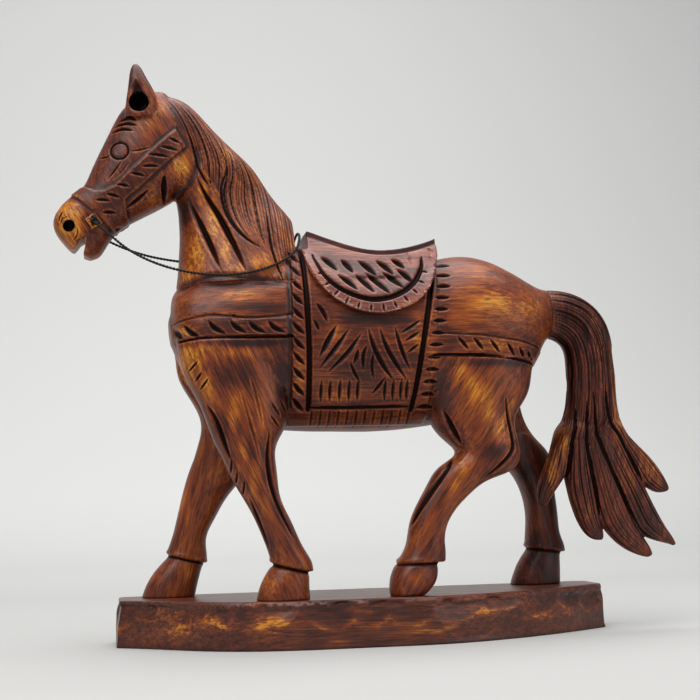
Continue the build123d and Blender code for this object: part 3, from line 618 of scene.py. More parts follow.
# ---------------------------------------------------------------- materials
def add(tree, kind, values=None, stops=(), **settings):
    """Add a node with its settings, plain values, links and colour stops."""
    node = tree.nodes.new(kind)
    for key, value in settings.items():
        setattr(node, key, value)
    for key, value in (values or {}).items():
        if isinstance(value, bpy.types.NodeSocket):
            tree.links.new(value, node.inputs[key])
        else:
            node.inputs[key].default_value = value
    for _ in stops[2:]:
        node.color_ramp.elements.new(0.5)
    for number, (spot, colour) in enumerate(stops):
        node.color_ramp.elements[number].position = spot
        node.color_ramp.elements[number].color = linear(colour)
    return node


def new_material(name):
    """Empty material with a principled shader and its output."""
    material = bpy.data.materials.new(name)
    material.use_nodes = True
    tree = material.node_tree
    tree.nodes.clear()
    shader = add(tree, "ShaderNodeBsdfPrincipled")
    add(tree, "ShaderNodeOutputMaterial", {"Surface": shader.outputs["BSDF"]})
    return material, tree, shader


GRAIN = (  # pattern along the grain: name, how many times longer than wide, width in mm, detail, roughness
    ("streak", 11, 2.0, 4.0, 0.7),      # bands where the stain took more or less
    ("pores", 22, 0.75, 2.0, 0.55),     # open pores, three times real width so that they show
    ("fleck", 2.0, 1.1, 4.0, 0.7),      # wear and short grain on every edge
)
# Each row: result, then a sum of a term and a second term or number, or the range of one term and what
# it becomes.
TONE = (
    ("blotchy", "range", "blotch", (0.25, 0.75, 0.24, 0.66)),
    ("streaky", "range", "streak", (0.25, 0.75, -0.24, 0.24)),
    ("stain", "ADD", "blotchy", "streaky"),
    ("rub_wear", "range", "streak", (0.3, 0.62, 0.15, 0.62)),
    ("rubbed", "MULTIPLY", "amber", "rub_wear"),
    ("with_rubbed", "ADD", "stain", "rubbed"),
    # Paler edges: wear, and a painted highlight along them.
    ("rim_wear", "range", "fleck", (0.3, 0.6, 0.14, 0.5)),
    ("bright_rim", "MULTIPLY", "rim", "rim_wear"),
    ("with_rim", "ADD", "with_rubbed", "bright_rim"),
    # The shade mark darkens the tone: darker stain, and painted shade in creases, hollows and under edges.
    ("dark_stain", "MULTIPLY", "shade", 0.62),
    ("tone", "SUBTRACT", "with_rim", "dark_stain"),
    ("pore_line", "range", "pores", (0.36, 0.5, 0.42, 1.0)),
    ("fleck_dot", "range", "fleck", (0.3, 0.5, 0.72, 1.0)),
    ("lines", "MULTIPLY", "pore_line", "fleck_dot"),
    ("black", "range", "cut", (0.1, 0.8, 0.0, 1.0)),
    ("streak_relief", "MULTIPLY", "streak", 0.6),
    ("pore_relief", "MULTIPLY", "pores", 0.5),
    ("height", "ADD", "streak_relief", "pore_relief"),
)
MARKS = ("cut", "rim", "shade", "amber")
# Near-black of the cuts: the stain gathered there, darkened further as painted shade.
BOTTOM_OF_CUTS = "#130605"
BUMP_DEPTH = 0.2 * MM


def stained_wood(name, lean, stops, seed, blotch_mm=14.0, gloss=0.3, coat=0.37):
    """Carved hardwood, stained red-brown and lacquered: streaks run with the grain, amber shows where the
    stain is rubbed through, edges are paler with wear and a painted highlight, the shade mark darkens it
    with stain and painted shade, and cuts are black and dull: the stain gathers there, darkened further as
    painted shade.
    lean is the turn that brings the way the grain runs to X."""
    material, tree, shader = new_material(name)
    spot = add(tree, "ShaderNodeTexCoord").outputs["Object"]
    turned = {"Vector": spot, "Location": (seed, 0, 0), "Rotation": lean}
    grain = add(tree, "ShaderNodeMapping", turned).outputs[0]
    found = {}
    for kind, stretch, size_mm, detail, roughness in (("blotch", 2.2, blotch_mm, 3.0, 0.55),) + GRAIN:
        drawn = add(tree, "ShaderNodeMapping", {"Vector": grain, "Scale": (1 / stretch, 1, 1)}).outputs[0]
        values = {"Vector": drawn, "Scale": 1 / (size_mm * MM), "Detail": detail, "Roughness": roughness}
        found[kind] = add(tree, "ShaderNodeTexNoise", values).outputs["Fac"]
    for kind in MARKS:
        found[kind] = add(tree, "ShaderNodeAttribute", attribute_name=kind).outputs["Fac"]
    lacquer = (
        ("wax", "range", "black", (0.0, 1.0, coat, 0.04)),
        ("shine", "range", "black", (0.0, 1.0, 0.16, 0.04)),
        ("haze", "range", "streak", (0.3, 0.7, gloss + 0.06, gloss - 0.04)),
    )
    for result, step, first, second in TONE + lacquer:
        if step == "range":
            names = ("From Min", "From Max", "To Min", "To Max")
            values = {"Value": found[first], **dict(zip(names, second))}
            found[result] = add(tree, "ShaderNodeMapRange", values).outputs[0]
        else:
            values = {0: found[first], 1: found.get(second, second)}
            found[result] = add(tree, "ShaderNodeMath", values, operation=step,
                                use_clamp=result == "tone").outputs[0]
    colour = add(tree, "ShaderNodeValToRGB", {"Fac": found["tone"]}, stops).outputs["Color"]
    for share, blend, other in ((1.0, "MULTIPLY", found["lines"]),
                                (found["black"], "MIX", linear(BOTTOM_OF_CUTS))):
        values = {"Factor": share, 6: colour, 7: other}
        colour = add(tree, "ShaderNodeMix", values, data_type="RGBA", blend_type=blend).outputs[2]
    relief = {"Strength": 0.6, "Distance": BUMP_DEPTH, "Height": found["height"]}
    bump = add(tree, "ShaderNodeBump", relief).outputs[0]
    for socket, source in (("Base Color", colour), ("Normal", bump), ("Coat Weight", found["wax"]),
                           ("Specular IOR Level", found["shine"]), ("Coat Roughness", found["haze"])):
        tree.links.new(source, shader.inputs[socket])
    shader.inputs["Roughness"].default_value = 0.5
    return material


HORSE_STOPS = [(0.0, "#260c07"), (0.22, "#481a0e"), (0.45, "#763314"), (0.66, "#954b16"), (0.84, "#b26919"),
               (1.0, "#c48329")]
# The saddle's pale pinkish stops are partly a painted sheen of its lacquer, over the wood's own colour.
SADDLE_STOPS_WITH_SHEEN = [(0.0, "#32130f"), (0.3, "#60291d"), (0.6, "#985643"), (0.85, "#b27056"), (1.0, "#b87638")]
TAIL_STOPS = [(0.0, "#1d0a07"), (0.3, "#41180f"), (0.55, "#6b2e1a"), (0.8, "#95501e"), (1.0, "#b87430")]
PLINTH_STOPS = [(0.0, "#1f0b08"), (0.25, "#3d160d"), (0.5, "#5e2914"), (0.7, "#803e17"), (0.88, "#ad651b"),
                (1.0, "#c37f28")]


def beech():
    """Plain beech, turned and unfinished: pale, dull and straight in its grain."""
    material, tree, shader = new_material("beech_dowel")
    spot = add(tree, "ShaderNodeTexCoord").outputs["Object"]
    stretched = add(tree, "ShaderNodeMapping", {"Vector": spot, "Scale": (1, 1, 0.1)}).outputs[0]
    values = {"Vector": stretched, "Scale": 1 / (0.8 * MM), "Detail": 3.0}
    fleck = add(tree, "ShaderNodeTexNoise", values).outputs["Fac"]
    stops = ((0.3, "#b98a55"), (0.7, "#d8b07a"))
    tree.links.new(add(tree, "ShaderNodeValToRGB", {"Fac": fleck}, stops).outputs[0],
                   shader.inputs["Base Color"])
    shader.inputs["Roughness"].default_value = 0.65
    return material


def zinc_steel():
    """Yellow-zinc plated steel, cold-headed: thin bright plating, faintly scuffed."""
    material, tree, shader = new_material("yellow_zinc_steel")
    spot = add(tree, "ShaderNodeTexCoord").outputs["Object"]
    values = {"Vector": spot, "Scale": 1 / (1.2 * MM), "Detail": 4.0}
    scuffs = add(tree, "ShaderNodeTexNoise", values).outputs["Fac"]
    stops = ((0.3, "#9a8450"), (0.7, "#cdbb84"))
    tree.links.new(add(tree, "ShaderNodeValToRGB", {"Fac": scuffs}, stops).outputs[0],
                   shader.inputs["Base Color"])
    rough = add(tree, "ShaderNodeMapRange", {"Value": scuffs, "To Min": 0.25, "To Max": 0.5}).outputs[0]
    tree.links.new(rough, shader.inputs["Roughness"])
    shader.inputs["Metallic"].default_value = 1.0
    return material


def waxed_cord():
    """Black waxed cotton: twisted yarns, black and dull, with a faint light along their crowns."""
    material, tree, shader = new_material("waxed_cotton_cord")
    spot = add(tree, "ShaderNodeTexCoord").outputs["Object"]
    values = {"Vector": spot, "Scale": 1 / (0.35 * MM), "Detail": 3.0}
    fibres = add(tree, "ShaderNodeTexNoise", values).outputs["Fac"]
    stops = ((0.3, "#080707"), (0.75, "#1d1a19"))
    tree.links.new(add(tree, "ShaderNodeValToRGB", {"Fac": fibres}, stops).outputs[0],
                   shader.inputs["Base Color"])
    bump = add(tree, "ShaderNodeBump", {"Strength": 0.5, "Distance": 0.1 * MM, "Height": fibres}).outputs[0]
    tree.links.new(bump, shader.inputs["Normal"])
    shader.inputs["Roughness"].default_value = 0.55
    shader.inputs["Specular IOR Level"].default_value = 0.25
    return material


def dress(piece, material, node):
    """Smooth a piece, give it its material and slot, and let it stand for its node."""
    pick(piece)
    bpy.ops.object.shade_smooth()
    piece.data.materials.clear()
    piece.data.materials.append(material)
    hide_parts(node)
    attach(piece, "root")


# ---------------------------------------------------------------- settings a user would change
class StageSettings(bpy.types.PropertyGroup):
    """Camera, lights and floor."""
    distance: bpy.props.FloatProperty(
        name="Camera distance",
        description="From the camera to the middle of the horse", default=0.7, unit="LENGTH")
    swing: bpy.props.FloatProperty(
        name="Swing",
        description="Camera's turn to the horse's front", default=math.radians(10), subtype="ANGLE")
    roll: bpy.props.FloatProperty(
        name="Roll",
        description="Tilt of the camera about its own axis", default=math.radians(1.4), subtype="ANGLE")
    height: bpy.props.FloatProperty(
        name="Camera height",
        description="Camera above the surface the plinth stands on", default=0.0684, unit="LENGTH")
    aim_x: bpy.props.FloatProperty(
        name="Aim along",
        description="Where the camera looks, along the horse", default=-0.004, unit="LENGTH")
    aim_z: bpy.props.FloatProperty(
        name="Aim height",
        description="Where the camera looks, above the floor", default=0.1434, unit="LENGTH")
    lens: bpy.props.FloatProperty(name="Lens", description="Focal length", default=72.0, unit="CAMERA")
    floor_colour: bpy.props.FloatVectorProperty(
        name="Floor colour",
        description="Paper sweep under and behind the horse", default=linear("#e2e3e2")[:3],
        subtype="COLOR", size=3)


class CarvingSettings(bpy.types.PropertyGroup):
    """How finely the wood is carved."""
    body_voxel: bpy.props.FloatProperty(
        name="Body grain",
        description="Size of the body's facets", default=0.5 * MM, unit="LENGTH", precision=5)
    tail_voxel: bpy.props.FloatProperty(
        name="Tail grain",
        description="Size of the tail's facets", default=0.42 * MM, unit="LENGTH", precision=5)
    saddle_voxel: bpy.props.FloatProperty(
        name="Saddle grain",
        description="Size of the saddle's facets", default=0.45 * MM, unit="LENGTH", precision=5)
    plinth_voxel: bpy.props.FloatProperty(
        name="Plinth grain",
        description="Size of the plinth's facets", default=0.9 * MM, unit="LENGTH", precision=5)


class CordSettings(bpy.types.PropertyGroup):
    """The reins."""
    diameter: bpy.props.FloatProperty(
        name="Cord diameter", description="Over both strands", default=1.4 * MM, unit="LENGTH", precision=5)
    twist: bpy.props.FloatProperty(
        name="Twist",
        description="Length of one turn of the strands", default=3.4 * MM, unit="LENGTH", precision=5)


# ---------------------------------------------------------------- stage
class HORSE_OT_stage(bpy.types.Operator):
    """Camera, soft studio lights and a pale paper sweep"""
    bl_idname = "horse.stage"
    bl_label = "Stage"

    def execute(self, context):
        setting = context.scene.horse_stage
        back = Vector((math.sin(setting.swing), math.cos(setting.swing), 0)) * setting.distance
        aim = Vector((setting.aim_x, 0, setting.aim_z))
        eye = Vector((setting.aim_x, 0, setting.height)) - back
        bpy.ops.object.camera_add(location=eye)
        camera = context.object
        camera.data.lens = setting.lens
        camera.data.clip_start = 0.01
        look = (aim - eye).normalized()
        level = look.cross(Vector((0, 0, 1))).normalized()
        up = level.cross(look)
        right = level * math.cos(setting.roll) - up * math.sin(setting.roll)
        top = level * math.sin(setting.roll) + up * math.cos(setting.roll)
        camera.matrix_world = Matrix.Translation(eye) @ Matrix((right, top, -look)).transposed().to_4x4()
        context.scene.camera = camera
        self.sweep(context, setting)
        self.lights(context)
        return {"FINISHED"}

    def sweep(self, context, setting):
        """Floor that curves up into a backdrop."""
        bpy.ops.object.select_all(action="DESELECT")
        bpy.ops.mesh.primitive_plane_add(size=6.0, location=(0, -1.4, 0))
        floor = context.object
        floor.name = "paper_sweep"
        bpy.ops.object.transform_apply(location=True)
        bpy.ops.object.mode_set(mode="EDIT")
        bpy.ops.mesh.select_all(action="DESELECT")
        bpy.ops.object.mode_set(mode="OBJECT")
        for edge in floor.data.edges:
            edge.select = all(floor.data.vertices[i].co.y > 0 for i in edge.vertices)
        bpy.ops.object.mode_set(mode="EDIT")
        bpy.ops.mesh.select_mode(type="EDGE")
        bpy.ops.mesh.extrude_region_move(TRANSFORM_OT_translate={"value": (0, 0, 3.0)})
        bpy.ops.object.mode_set(mode="OBJECT")
        curve = floor.modifiers.new("curve", "BEVEL")
        curve.width, curve.segments, curve.affect = 0.6, 16, "EDGES"
        bpy.ops.object.modifier_apply(modifier=curve.name)
        bpy.ops.object.shade_smooth()
        material, tree, shader = new_material("matt_paper")
        spot = add(tree, "ShaderNodeTexCoord").outputs["Object"]
        along = add(tree, "ShaderNodeSeparateXYZ", {"Vector": spot}).outputs["Y"]
        further = add(tree, "ShaderNodeMapRange",
                      {"Value": along, "From Min": 0.4, "From Max": 1.3}).outputs[0]
        # Painted shade: the paper is darker on the floor than up the backdrop, standing in for less light
        # there.
        near_tone = tuple(0.58 * c for c in setting.floor_colour) + (1.0,)
        far_tone = tuple(setting.floor_colour) + (1.0,)
        tone = add(tree, "ShaderNodeMix", {"Factor": further, 6: near_tone, 7: far_tone},
                   data_type="RGBA").outputs[2]
        tree.links.new(tone, shader.inputs["Base Color"])
        shader.inputs["Roughness"].default_value = 0.9
        floor.data.materials.append(material)

    def lights(self, context):
        """Broad soft lights from the upper left, front and right, in a pale room."""
        for name, spot, size, power, tint, goal in (
            ("key", (-0.6, -0.7, 1.0), 0.8, 8.0, (1.0, 0.98, 0.95), (0, 0, 0.13)),
            ("top", (0.05, -0.05, 1.2), 1.2, 18.0, (1.0, 0.98, 0.97), (0, 0, 0.13)),
            ("fill", (0.9, -0.8, 0.5), 0.8, 2.8, (1.0, 0.98, 0.97), (0, 0, 0.13)),
            ("backdrop", (0.1, 0.6, 1.3), 1.0, 3.5, (1.0, 1.0, 1.0), (0.1, 1.6, 0.4)),
        ):
            bpy.ops.object.light_add(type="AREA", location=spot)
            light = context.object
            light.name = name
            light.data.size = size
            light.data.energy = power
            light.data.color = tint
            light.rotation_euler = (Vector(goal) - Vector(spot)).to_track_quat("-Z", "Y").to_euler()
        world = context.scene.world or bpy.data.worlds.new("room")
        context.scene.world = world
        world.use_nodes = True
        shade = world.node_tree.nodes["Background"]
        shade.inputs["Color"].default_value = linear("#f2f3f4")
        shade.inputs["Strength"].default_value = 0.38
        context.scene.view_settings.view_transform = "Standard"


# ---------------------------------------------------------------- the horse
def glue_box(name, low, high):
    """Cube between two corners, to saw with."""
    bpy.ops.object.select_all(action="DESELECT")
    bpy.ops.mesh.primitive_cube_add(size=1, location=(Vector(low) + Vector(high)) / 2)
    saw = bpy.context.object
    saw.name = name
    saw.scale = Vector(high) - Vector(low)
    bpy.ops.object.transform_apply(location=True, scale=True)
    return saw


def sawn(whole, name, saw, operation):
    """Copy of the whole, kept inside or outside the saw's box."""
    piece = whole.copy()
    piece.data = whole.data.copy()
    piece.name = name
    bpy.context.scene.collection.objects.link(piece)
    cut = piece.modifiers.new("saw", "BOOLEAN")
    cut.object, cut.operation, cut.solver = saw, operation, "MANIFOLD"
    pick(piece)
    bpy.ops.object.modifier_apply(modifier=cut.name)
    return piece


def thin(piece, most):
    """Fewer triangles, if there are more than most."""
    piece.data.calc_loop_triangles()
    count = len(piece.data.loop_triangles)
    if count > most:
        fewer = piece.modifiers.new("fewer", "DECIMATE")
        fewer.ratio = most / count
        pick(piece)
        bpy.ops.object.modifier_apply(modifier=fewer.name)


def leg_zones(name):
    """Box of a leg's shoulder or haunch, and the box of the free leg below it."""
    side = -1 if name.endswith("left") else 1
    glued = sorted((side * LEG_GLUE_Y, side * 0.06))
    free = sorted((0.0, side * 0.06))
    if name.startswith("fore"):
        block = ((-0.15, glued[0], 0.05), (SHOULDER_GLUE_X, glued[1], SHOULDER_GLUE_Z))
        below = ((-0.151, free[0], 0.0), (0.0, free[1], LEG_BELOW_Z))
    else:
        block = ((HAUNCH_GLUE_X, glued[0], 0.05), (0.15, glued[1], HAUNCH_GLUE_Z))
        below = ((0.0, free[0], 0.0), (0.151, free[1], LEG_BELOW_Z))
    return block, below


class HORSE_OT_horse(bpy.types.Operator):
    """Carve the horse's six blocks as one, then saw them apart along their glue planes"""
    bl_idname = "horse.horse"
    bl_label = "Horse"

    def execute(self, context):
        rng = np.random.default_rng(7)
        blocks = [copy_of(name, "block_" + name) for name in HORSE_BLOCKS]
        pick(*blocks)
        bpy.ops.object.join()
        whole = context.object
        whole.name = "whole_horse"
        remesh(whole, context.scene.horse_carving.body_voxel)
        pairs = edges_of(whole)
        place(whole, relax(positions(whole), pairs, 10))
        work = Carving(whole)
        hew_facets(work, rng, 14, 0.16)
        for side in (-1, 1):
            carve_head(work, side)
            carve_mane(work, side, rng)
            carve_straps(work, side)
            carve_blanket(work, side)
            for line, width, depth in LEFT_LEG_CUTS if side < 0 else RIGHT_LEG_CUTS:
                work.chip(line, width, depth, side, taper=0.5, flat=0.05, dark=1.0 if depth > 0.5 else 0.5)
            for start, end in HOOF_LINES[side]:
                work.band(start, end, 1.8, 1.1, side)
        # Painted shade on the inward faces of the far hind leg, below the belly.
        x, y, z = work.spots.T
        turned_in = smooth_step(0.2, 0.7, -work.facing[:, 1] * np.sign(y)) * smooth_step(112, 92, z)
        work.shade = np.maximum(work.shade, 0.42 * turned_in * (y > 8) * (x > 0))
        work.stain(AMBER + PAINTED_SHADE_PATCHES)
        work.finish()
        self.saw_apart(whole)
        return {"FINISHED"}

    def saw_apart(self, whole):
        """Six closed blocks, each with its own run of grain."""
        rest = whole
        pieces = {}
        for name in LEG_BLOCKS:
            block, below = leg_zones(name)
            boxes = [glue_box("saw", *block), glue_box("saw_below", *below)]
            union = boxes[0].modifiers.new("join", "BOOLEAN")
            union.object, union.operation, union.solver = boxes[1], "UNION", "EXACT"
            pick(boxes[0])
            bpy.ops.object.modifier_apply(modifier=union.name)
            pieces[name] = sawn(rest, "carved_" + name, boxes[0], "INTERSECT")
            smaller = sawn(rest, "rest", boxes[0], "DIFFERENCE")
            for spent in [rest] + boxes:
                bpy.data.objects.remove(spent)
            rest = smaller
        neck_x, neck_z = NECK_GLUE
        saw = glue_box("saw", (-0.2, -0.08, neck_z), (neck_x, 0.08, 0.35))
        pieces["neck_and_head"] = sawn(rest, "carved_neck_and_head", saw, "INTERSECT")
        pieces["torso"] = sawn(rest, "carved_torso", saw, "DIFFERENCE")
        for spent in (rest, saw):
            bpy.data.objects.remove(spent)
        for seed, (name, piece) in enumerate(pieces.items()):
            thin(piece, MOST_TRIANGLES)
            lean = (0, math.radians(GRAIN_LEAN[name]), 0)
            wood = stained_wood("stained_wood_" + name, lean, HORSE_STOPS, 0.31 * seed)
            dress(piece, wood, name)


# ---------------------------------------------------------------- saddle, tail and plinth
class HORSE_OT_saddle(bpy.types.Operator):
    """Saddle with a dark moulded seat edge, a ring groove, two rows of chips and a notched rim"""
    bl_idname = "horse.saddle"
    bl_label = "Saddle"

    def execute(self, context):
        rng = np.random.default_rng(11)
        piece = copy_of("saddle", "carved_saddle")
        remesh(piece, context.scene.horse_carving.saddle_voxel)
        pairs = edges_of(piece)
        smooth = relax(positions(piece), pairs, 8)
        softer = relax(smooth, pairs, 40)
        x, y, z = smooth.T / MM
        ledge = np.exp(-(((z - 181) / 4) ** 2)) * smooth_step(-23, -19, x) * smooth_step(29, 25, x)
        place(piece, smooth + (softer - smooth) * ledge[:, None])
        work = Carving(piece)
        hew_facets(work, rng, 10, 0.1)
        for side in (-1, 1):
            work.gouge(SADDLE_RING, 3.2, 1.7, side, taper=0.3)
            for line in SADDLE_CHIPS:
                work.chip(line, 4.0, 1.6, side, taper=0.6, lean=0.3)
            middle = np.array((3.0, 187.0))
            for turn in np.radians(np.arange(-160, -14, 13.0)):
                outward = np.array((math.cos(turn), math.sin(turn)))
                inner, outer = middle + outward * 24.8, middle + outward * 29.6
                work.chip([inner, outer], 1.8, 0.8, side, dark=0.8)
        x, y, z = work.spots.T
        seat_line = np.interp(x, *np.transpose(SEAT_LINE))
        seat = smooth_step(-3.6, -3.0, z - seat_line)
        work.shade = np.maximum(work.shade, seat * 0.55)
        work.stain([(20, 162, 6, 4, 0.6), (-22, 178, 3, 6, 0.3)])
        work.finish()
        pick(piece)
        bpy.ops.object.shade_smooth()           # before thin, which picks other triangles without it
        thin(piece, MOST_SADDLE_TRIANGLES)
        wood = stained_wood("stained_wood_saddle", (0, 0, 0), SADDLE_STOPS_WITH_SHEEN, 2.7, coat=0.7)
        dress(piece, wood, "saddle")
        return {"FINISHED"}


TAIL_FRONT = [(99, 150), (104, 147.5), (107.8, 143), (109, 136), (109, 126), (107.6, 114), (105.2, 106)]
TAIL_BACK = [(99, 173), (108, 172.8), (118, 170), (126, 164.6), (132, 153), (134.2, 138), (134.7, 121),
             (136.2, 108)]
LOCK_EDGES = [  # edges between the locks, then both edges of each lock down to its tip
    ([(98.9, 92.5), (95, 82.5), (92.2, 76), (90.9, 70.5), (91.2, 65.4), (92.8, 63)],
     [(108.5, 98), (107, 86), (105.4, 75), (100.3, 70.5), (97.2, 65.8), (95, 63.2)]),
    ([(108.5, 98), (107, 86), (106.6, 72), (109.2, 61.2), (112.4, 53), (116.2, 47.6), (121.5, 45)],
     [(115, 100), (117, 86), (120, 70), (122, 58), (124.4, 51.5), (125.3, 47.4), (124.4, 45)]),
    ([(115, 100), (117, 86), (120, 68), (124.5, 52.2), (132, 43.3), (141.4, 37.4), (149, 35.6)],
     [(121, 100), (127, 84), (134, 68), (141.5, 53), (146.5, 46), (150, 40.5), (151, 36.8)]),
    ([(121, 100), (127, 84), (134, 68), (141.5, 52), (147, 46), (155.6, 43), (163, 41)],
     [(128, 104), (134, 96), (140, 84), (147, 73), (152, 63.6), (156.6, 54.8), (161, 47.8), (164, 42)]),
    ([(128, 104), (134, 96), (140, 84), (146, 74), (151, 70), (157, 68.3), (160.8, 69)],
     [(136.2, 108), (140.5, 98.6), (147.6, 91.2), (153.4, 85), (157.8, 78.8), (161, 72.8), (161.8, 70)]),
]
TAIL_STAIN = [  # as AMBER and PAINTED_SHADE_PATCHES: amounts below zero are painted shade
    (126, 164, 10, 7, 0.5), (134, 132, 3, 30, 1.0), (98, 78, 3, 14, 1.0), (104, 92, 2.5, 10, 0.6),
    (115, 60, 3, 10, 0.4), (152, 80, 8, 8, 0.7), (124, 132, 3, 16, 0.4), (158, 50, 5, 8, 0.3),
    (108, 156, 8, 8, -0.35), (112, 120, 4, 26, -0.3),
]
LOCK_PARTINGS = [
    [(105.6, 76), (107, 86), (108.5, 98), (110.5, 112)],
    [(122.4, 57), (120, 70), (117, 86), (115.4, 100), (116, 116)],
    [(141.4, 53), (134, 68), (127, 84), (121, 100), (119.5, 120)],
    [(146.4, 74), (140, 84), (134, 96), (128.4, 106), (126, 124)],
]


def even_out(points, count):
    """The same line with count points, evenly spaced."""
    line = bowed(points)
    gone = np.concatenate([[0], np.cumsum(np.hypot(*np.diff(line, axis=0).T))])
    marks = np.linspace(0, gone[-1], count)
    return np.array([np.interp(marks, gone, line[:, i]) for i in (0, 1)]).T


def tail_strands(rng):
    """Strand lines from the root of the tail down through every lock."""
    front, back = even_out(TAIL_FRONT, 12), even_out(TAIL_BACK, 12)
    lines = []
    for number, (near_edge, far_edge) in enumerate(LOCK_EDGES):
        near_edge, far_edge = even_out(near_edge, 12), even_out(far_edge, 12)
        for step in range(7):
            share = (step + 0.5 + rng.uniform(-0.25, 0.25)) / 7
            over = front + (back - front) * (number + share) / 5
            under = near_edge + (far_edge - near_edge) * share
            lines.append(np.vstack([over, under]))
    return lines


class HORSE_OT_tail(bpy.types.Operator):
    """Tail with strands cut along each of its locks"""
    bl_idname = "horse.tail"
    bl_label = "Tail"

    def execute(self, context):
        rng = np.random.default_rng(5)
        piece = copy_of("tail", "carved_tail")
        remesh(piece, context.scene.horse_carving.tail_voxel)
        pairs = edges_of(piece)
        smooth = relax(positions(piece), pairs, 8)
        softer = relax(smooth, pairs, 40)
        joint = np.exp(-(((smooth[:, 2] / MM - 108) / 16) ** 2))[:, None]
        place(piece, smooth + (softer - smooth) * joint)
        work = Carving(piece)
        hew_facets(work, rng, 8, 0.1)
        for side in (-1, 1):
            for line in LOCK_PARTINGS:
                work.gouge(line, 2.4, 1.5, side, taper=0.5, rim=0.4)
            for line in tail_strands(rng):
                start = 0
                while start < len(line) - 4:
                    end = start + int(rng.integers(5, 16))
                    width, depth = rng.uniform(0.8, 1.5), rng.uniform(0.3, 0.9)
                    dark = rng.uniform(0.3, 0.9)
                    work.chip(line[start:end], width, depth, side, taper=0.35, flat=-0.1, dark=dark,
                              rim=0.5)
                    start = end - int(rng.integers(0, 3))
        x, y, z = work.spots.T
        edge_on = smooth_step(0.3, 0.7, 1 - np.abs(work.facing[:, 1]))
        edge_on *= smooth_step(0.5, 3.0, x - TAIL_GLUE_X / MM + 30 * (z < 120))
        for width, depth in ((1.5, 0.55), (2.7, 0.7)):
            place_in = (y + 0.5 * np.sin(0.11 * (z + x) + width) + 0.3 * np.sin(0.29 * z)) / width
            cell = np.floor(place_in)
            fraction = np.abs(place_in - cell - 0.5) * 2
            amount = 0.5 + 0.5 * np.sin(cell * 12.9898 + 0.16 * (z - x))
            strand = amount * smooth_step(0.55, 1.0, fraction) * edge_on
            work.depth = np.maximum(work.depth, depth * strand)
            # Strand grooves blackened: the stain gathered there, darkened further as painted shade.
            work.cut = np.maximum(work.cut, 0.7 * strand)
        work.stain(TAIL_STAIN)
        work.finish()
        thin(piece, MOST_TRIANGLES)
        wood = stained_wood("stained_wood_tail", (0, math.radians(-95), 0), TAIL_STOPS, 3.9)
        dress(piece, wood, "tail")
        return {"FINISHED"}


PLINTH_STAIN = [  # as AMBER
    (-92, 9, 10, 4, 0.6), (-76, 13, 12, 3.5, 0.9), (-52, 13, 9, 5, 0.9), (-22, 3, 6, 2, 0.7),
    (26, 7, 12, 1.6, 0.7), (54, 14, 12, 3, 0.6), (-6, 17, 9, 2.5, 0.6), (-96, 17, 10, 3, 0.6),
    (76, 17, 9, 3, 0.5), (24, 18, 10, 2, 0.4), (90, 10, 20, 2.5, 0.4),
]


class HORSE_OT_plinth(bpy.types.Operator):
    """Hewn plinth: flat on top, chopped to facets along its bulging edge"""
    bl_idname = "horse.plinth"
    bl_label = "Plinth"

    def execute(self, context):
        rng = np.random.default_rng(3)
        piece = copy_of("plinth", "hewn_plinth")
        remesh(piece, context.scene.horse_carving.plinth_voxel)
        place(piece, relax(positions(piece), edges_of(piece), 3))
        work = Carving(piece)
        x, y, z = work.spots.T
        below_top = PLINTH_TOP / MM - z
        side_on = smooth_step(0.15, 0.6, 1 - np.abs(work.facing[:, 2]))
        girth = np.where((work.facing[:, 1] < 0.3) | (y < 30), x, 300 - x)
        chop = np.full(len(x), -1.0)
        spot = -130.0
        while spot < 440:
            width = rng.uniform(18, 38)
            middle, deep, lip = spot + width / 2, rng.uniform(1.8, 3.8), rng.uniform(8, 15)
            slant = rng.uniform(-0.25, 0.25)
            bowl = 1 - ((girth - middle + slant * below_top) / (0.62 * width)) ** 2
            chop = np.maximum(chop, deep * (bowl - below_top / lip))
            spot += width * rng.uniform(0.55, 0.95)
        wave = np.sin(0.11 * girth + 1.3) * 0.3 + np.sin(0.053 * girth + 0.05 * z) * 0.4
        work.depth += (np.clip(chop, 0, None) + 0.5 + wave) * side_on
        hew_facets(work, rng, 12, 0.3)
        work.depth *= smooth_step(0.3, 2.0, z)
        work.depth *= 1 - 0.6 * smooth_step(0.5, 0.95, work.facing[:, 2])
        work.depth = relax(work.depth, work.pairs, 5)
        # Chop edges paler, worn and painted as a highlight; painted shade in the chop hollows and along the
        # plinth's foot, where it meets the floor.
        work.rim = np.exp(-(((chop + 0.05) / 0.22) ** 2)) * side_on * (0.5 + 0.3 * np.sin(0.4 * x))
        work.shade = np.maximum(work.shade, 0.15 * smooth_step(0.1, 0.8, chop) * side_on)
        work.shade = np.maximum(work.shade, 0.3 * smooth_step(3, 0, z))
        work.stain(PLINTH_STAIN, side=-1)
        work.finish()
        thin(piece, MOST_TRIANGLES)
        wood = stained_wood("stained_wood_plinth", (0, 0, 0), PLINTH_STOPS, 5.1, blotch_mm=20.0, gloss=0.32,
                            coat=0.55)
        dress(piece, wood, "plinth")
        return {"FINISHED"}


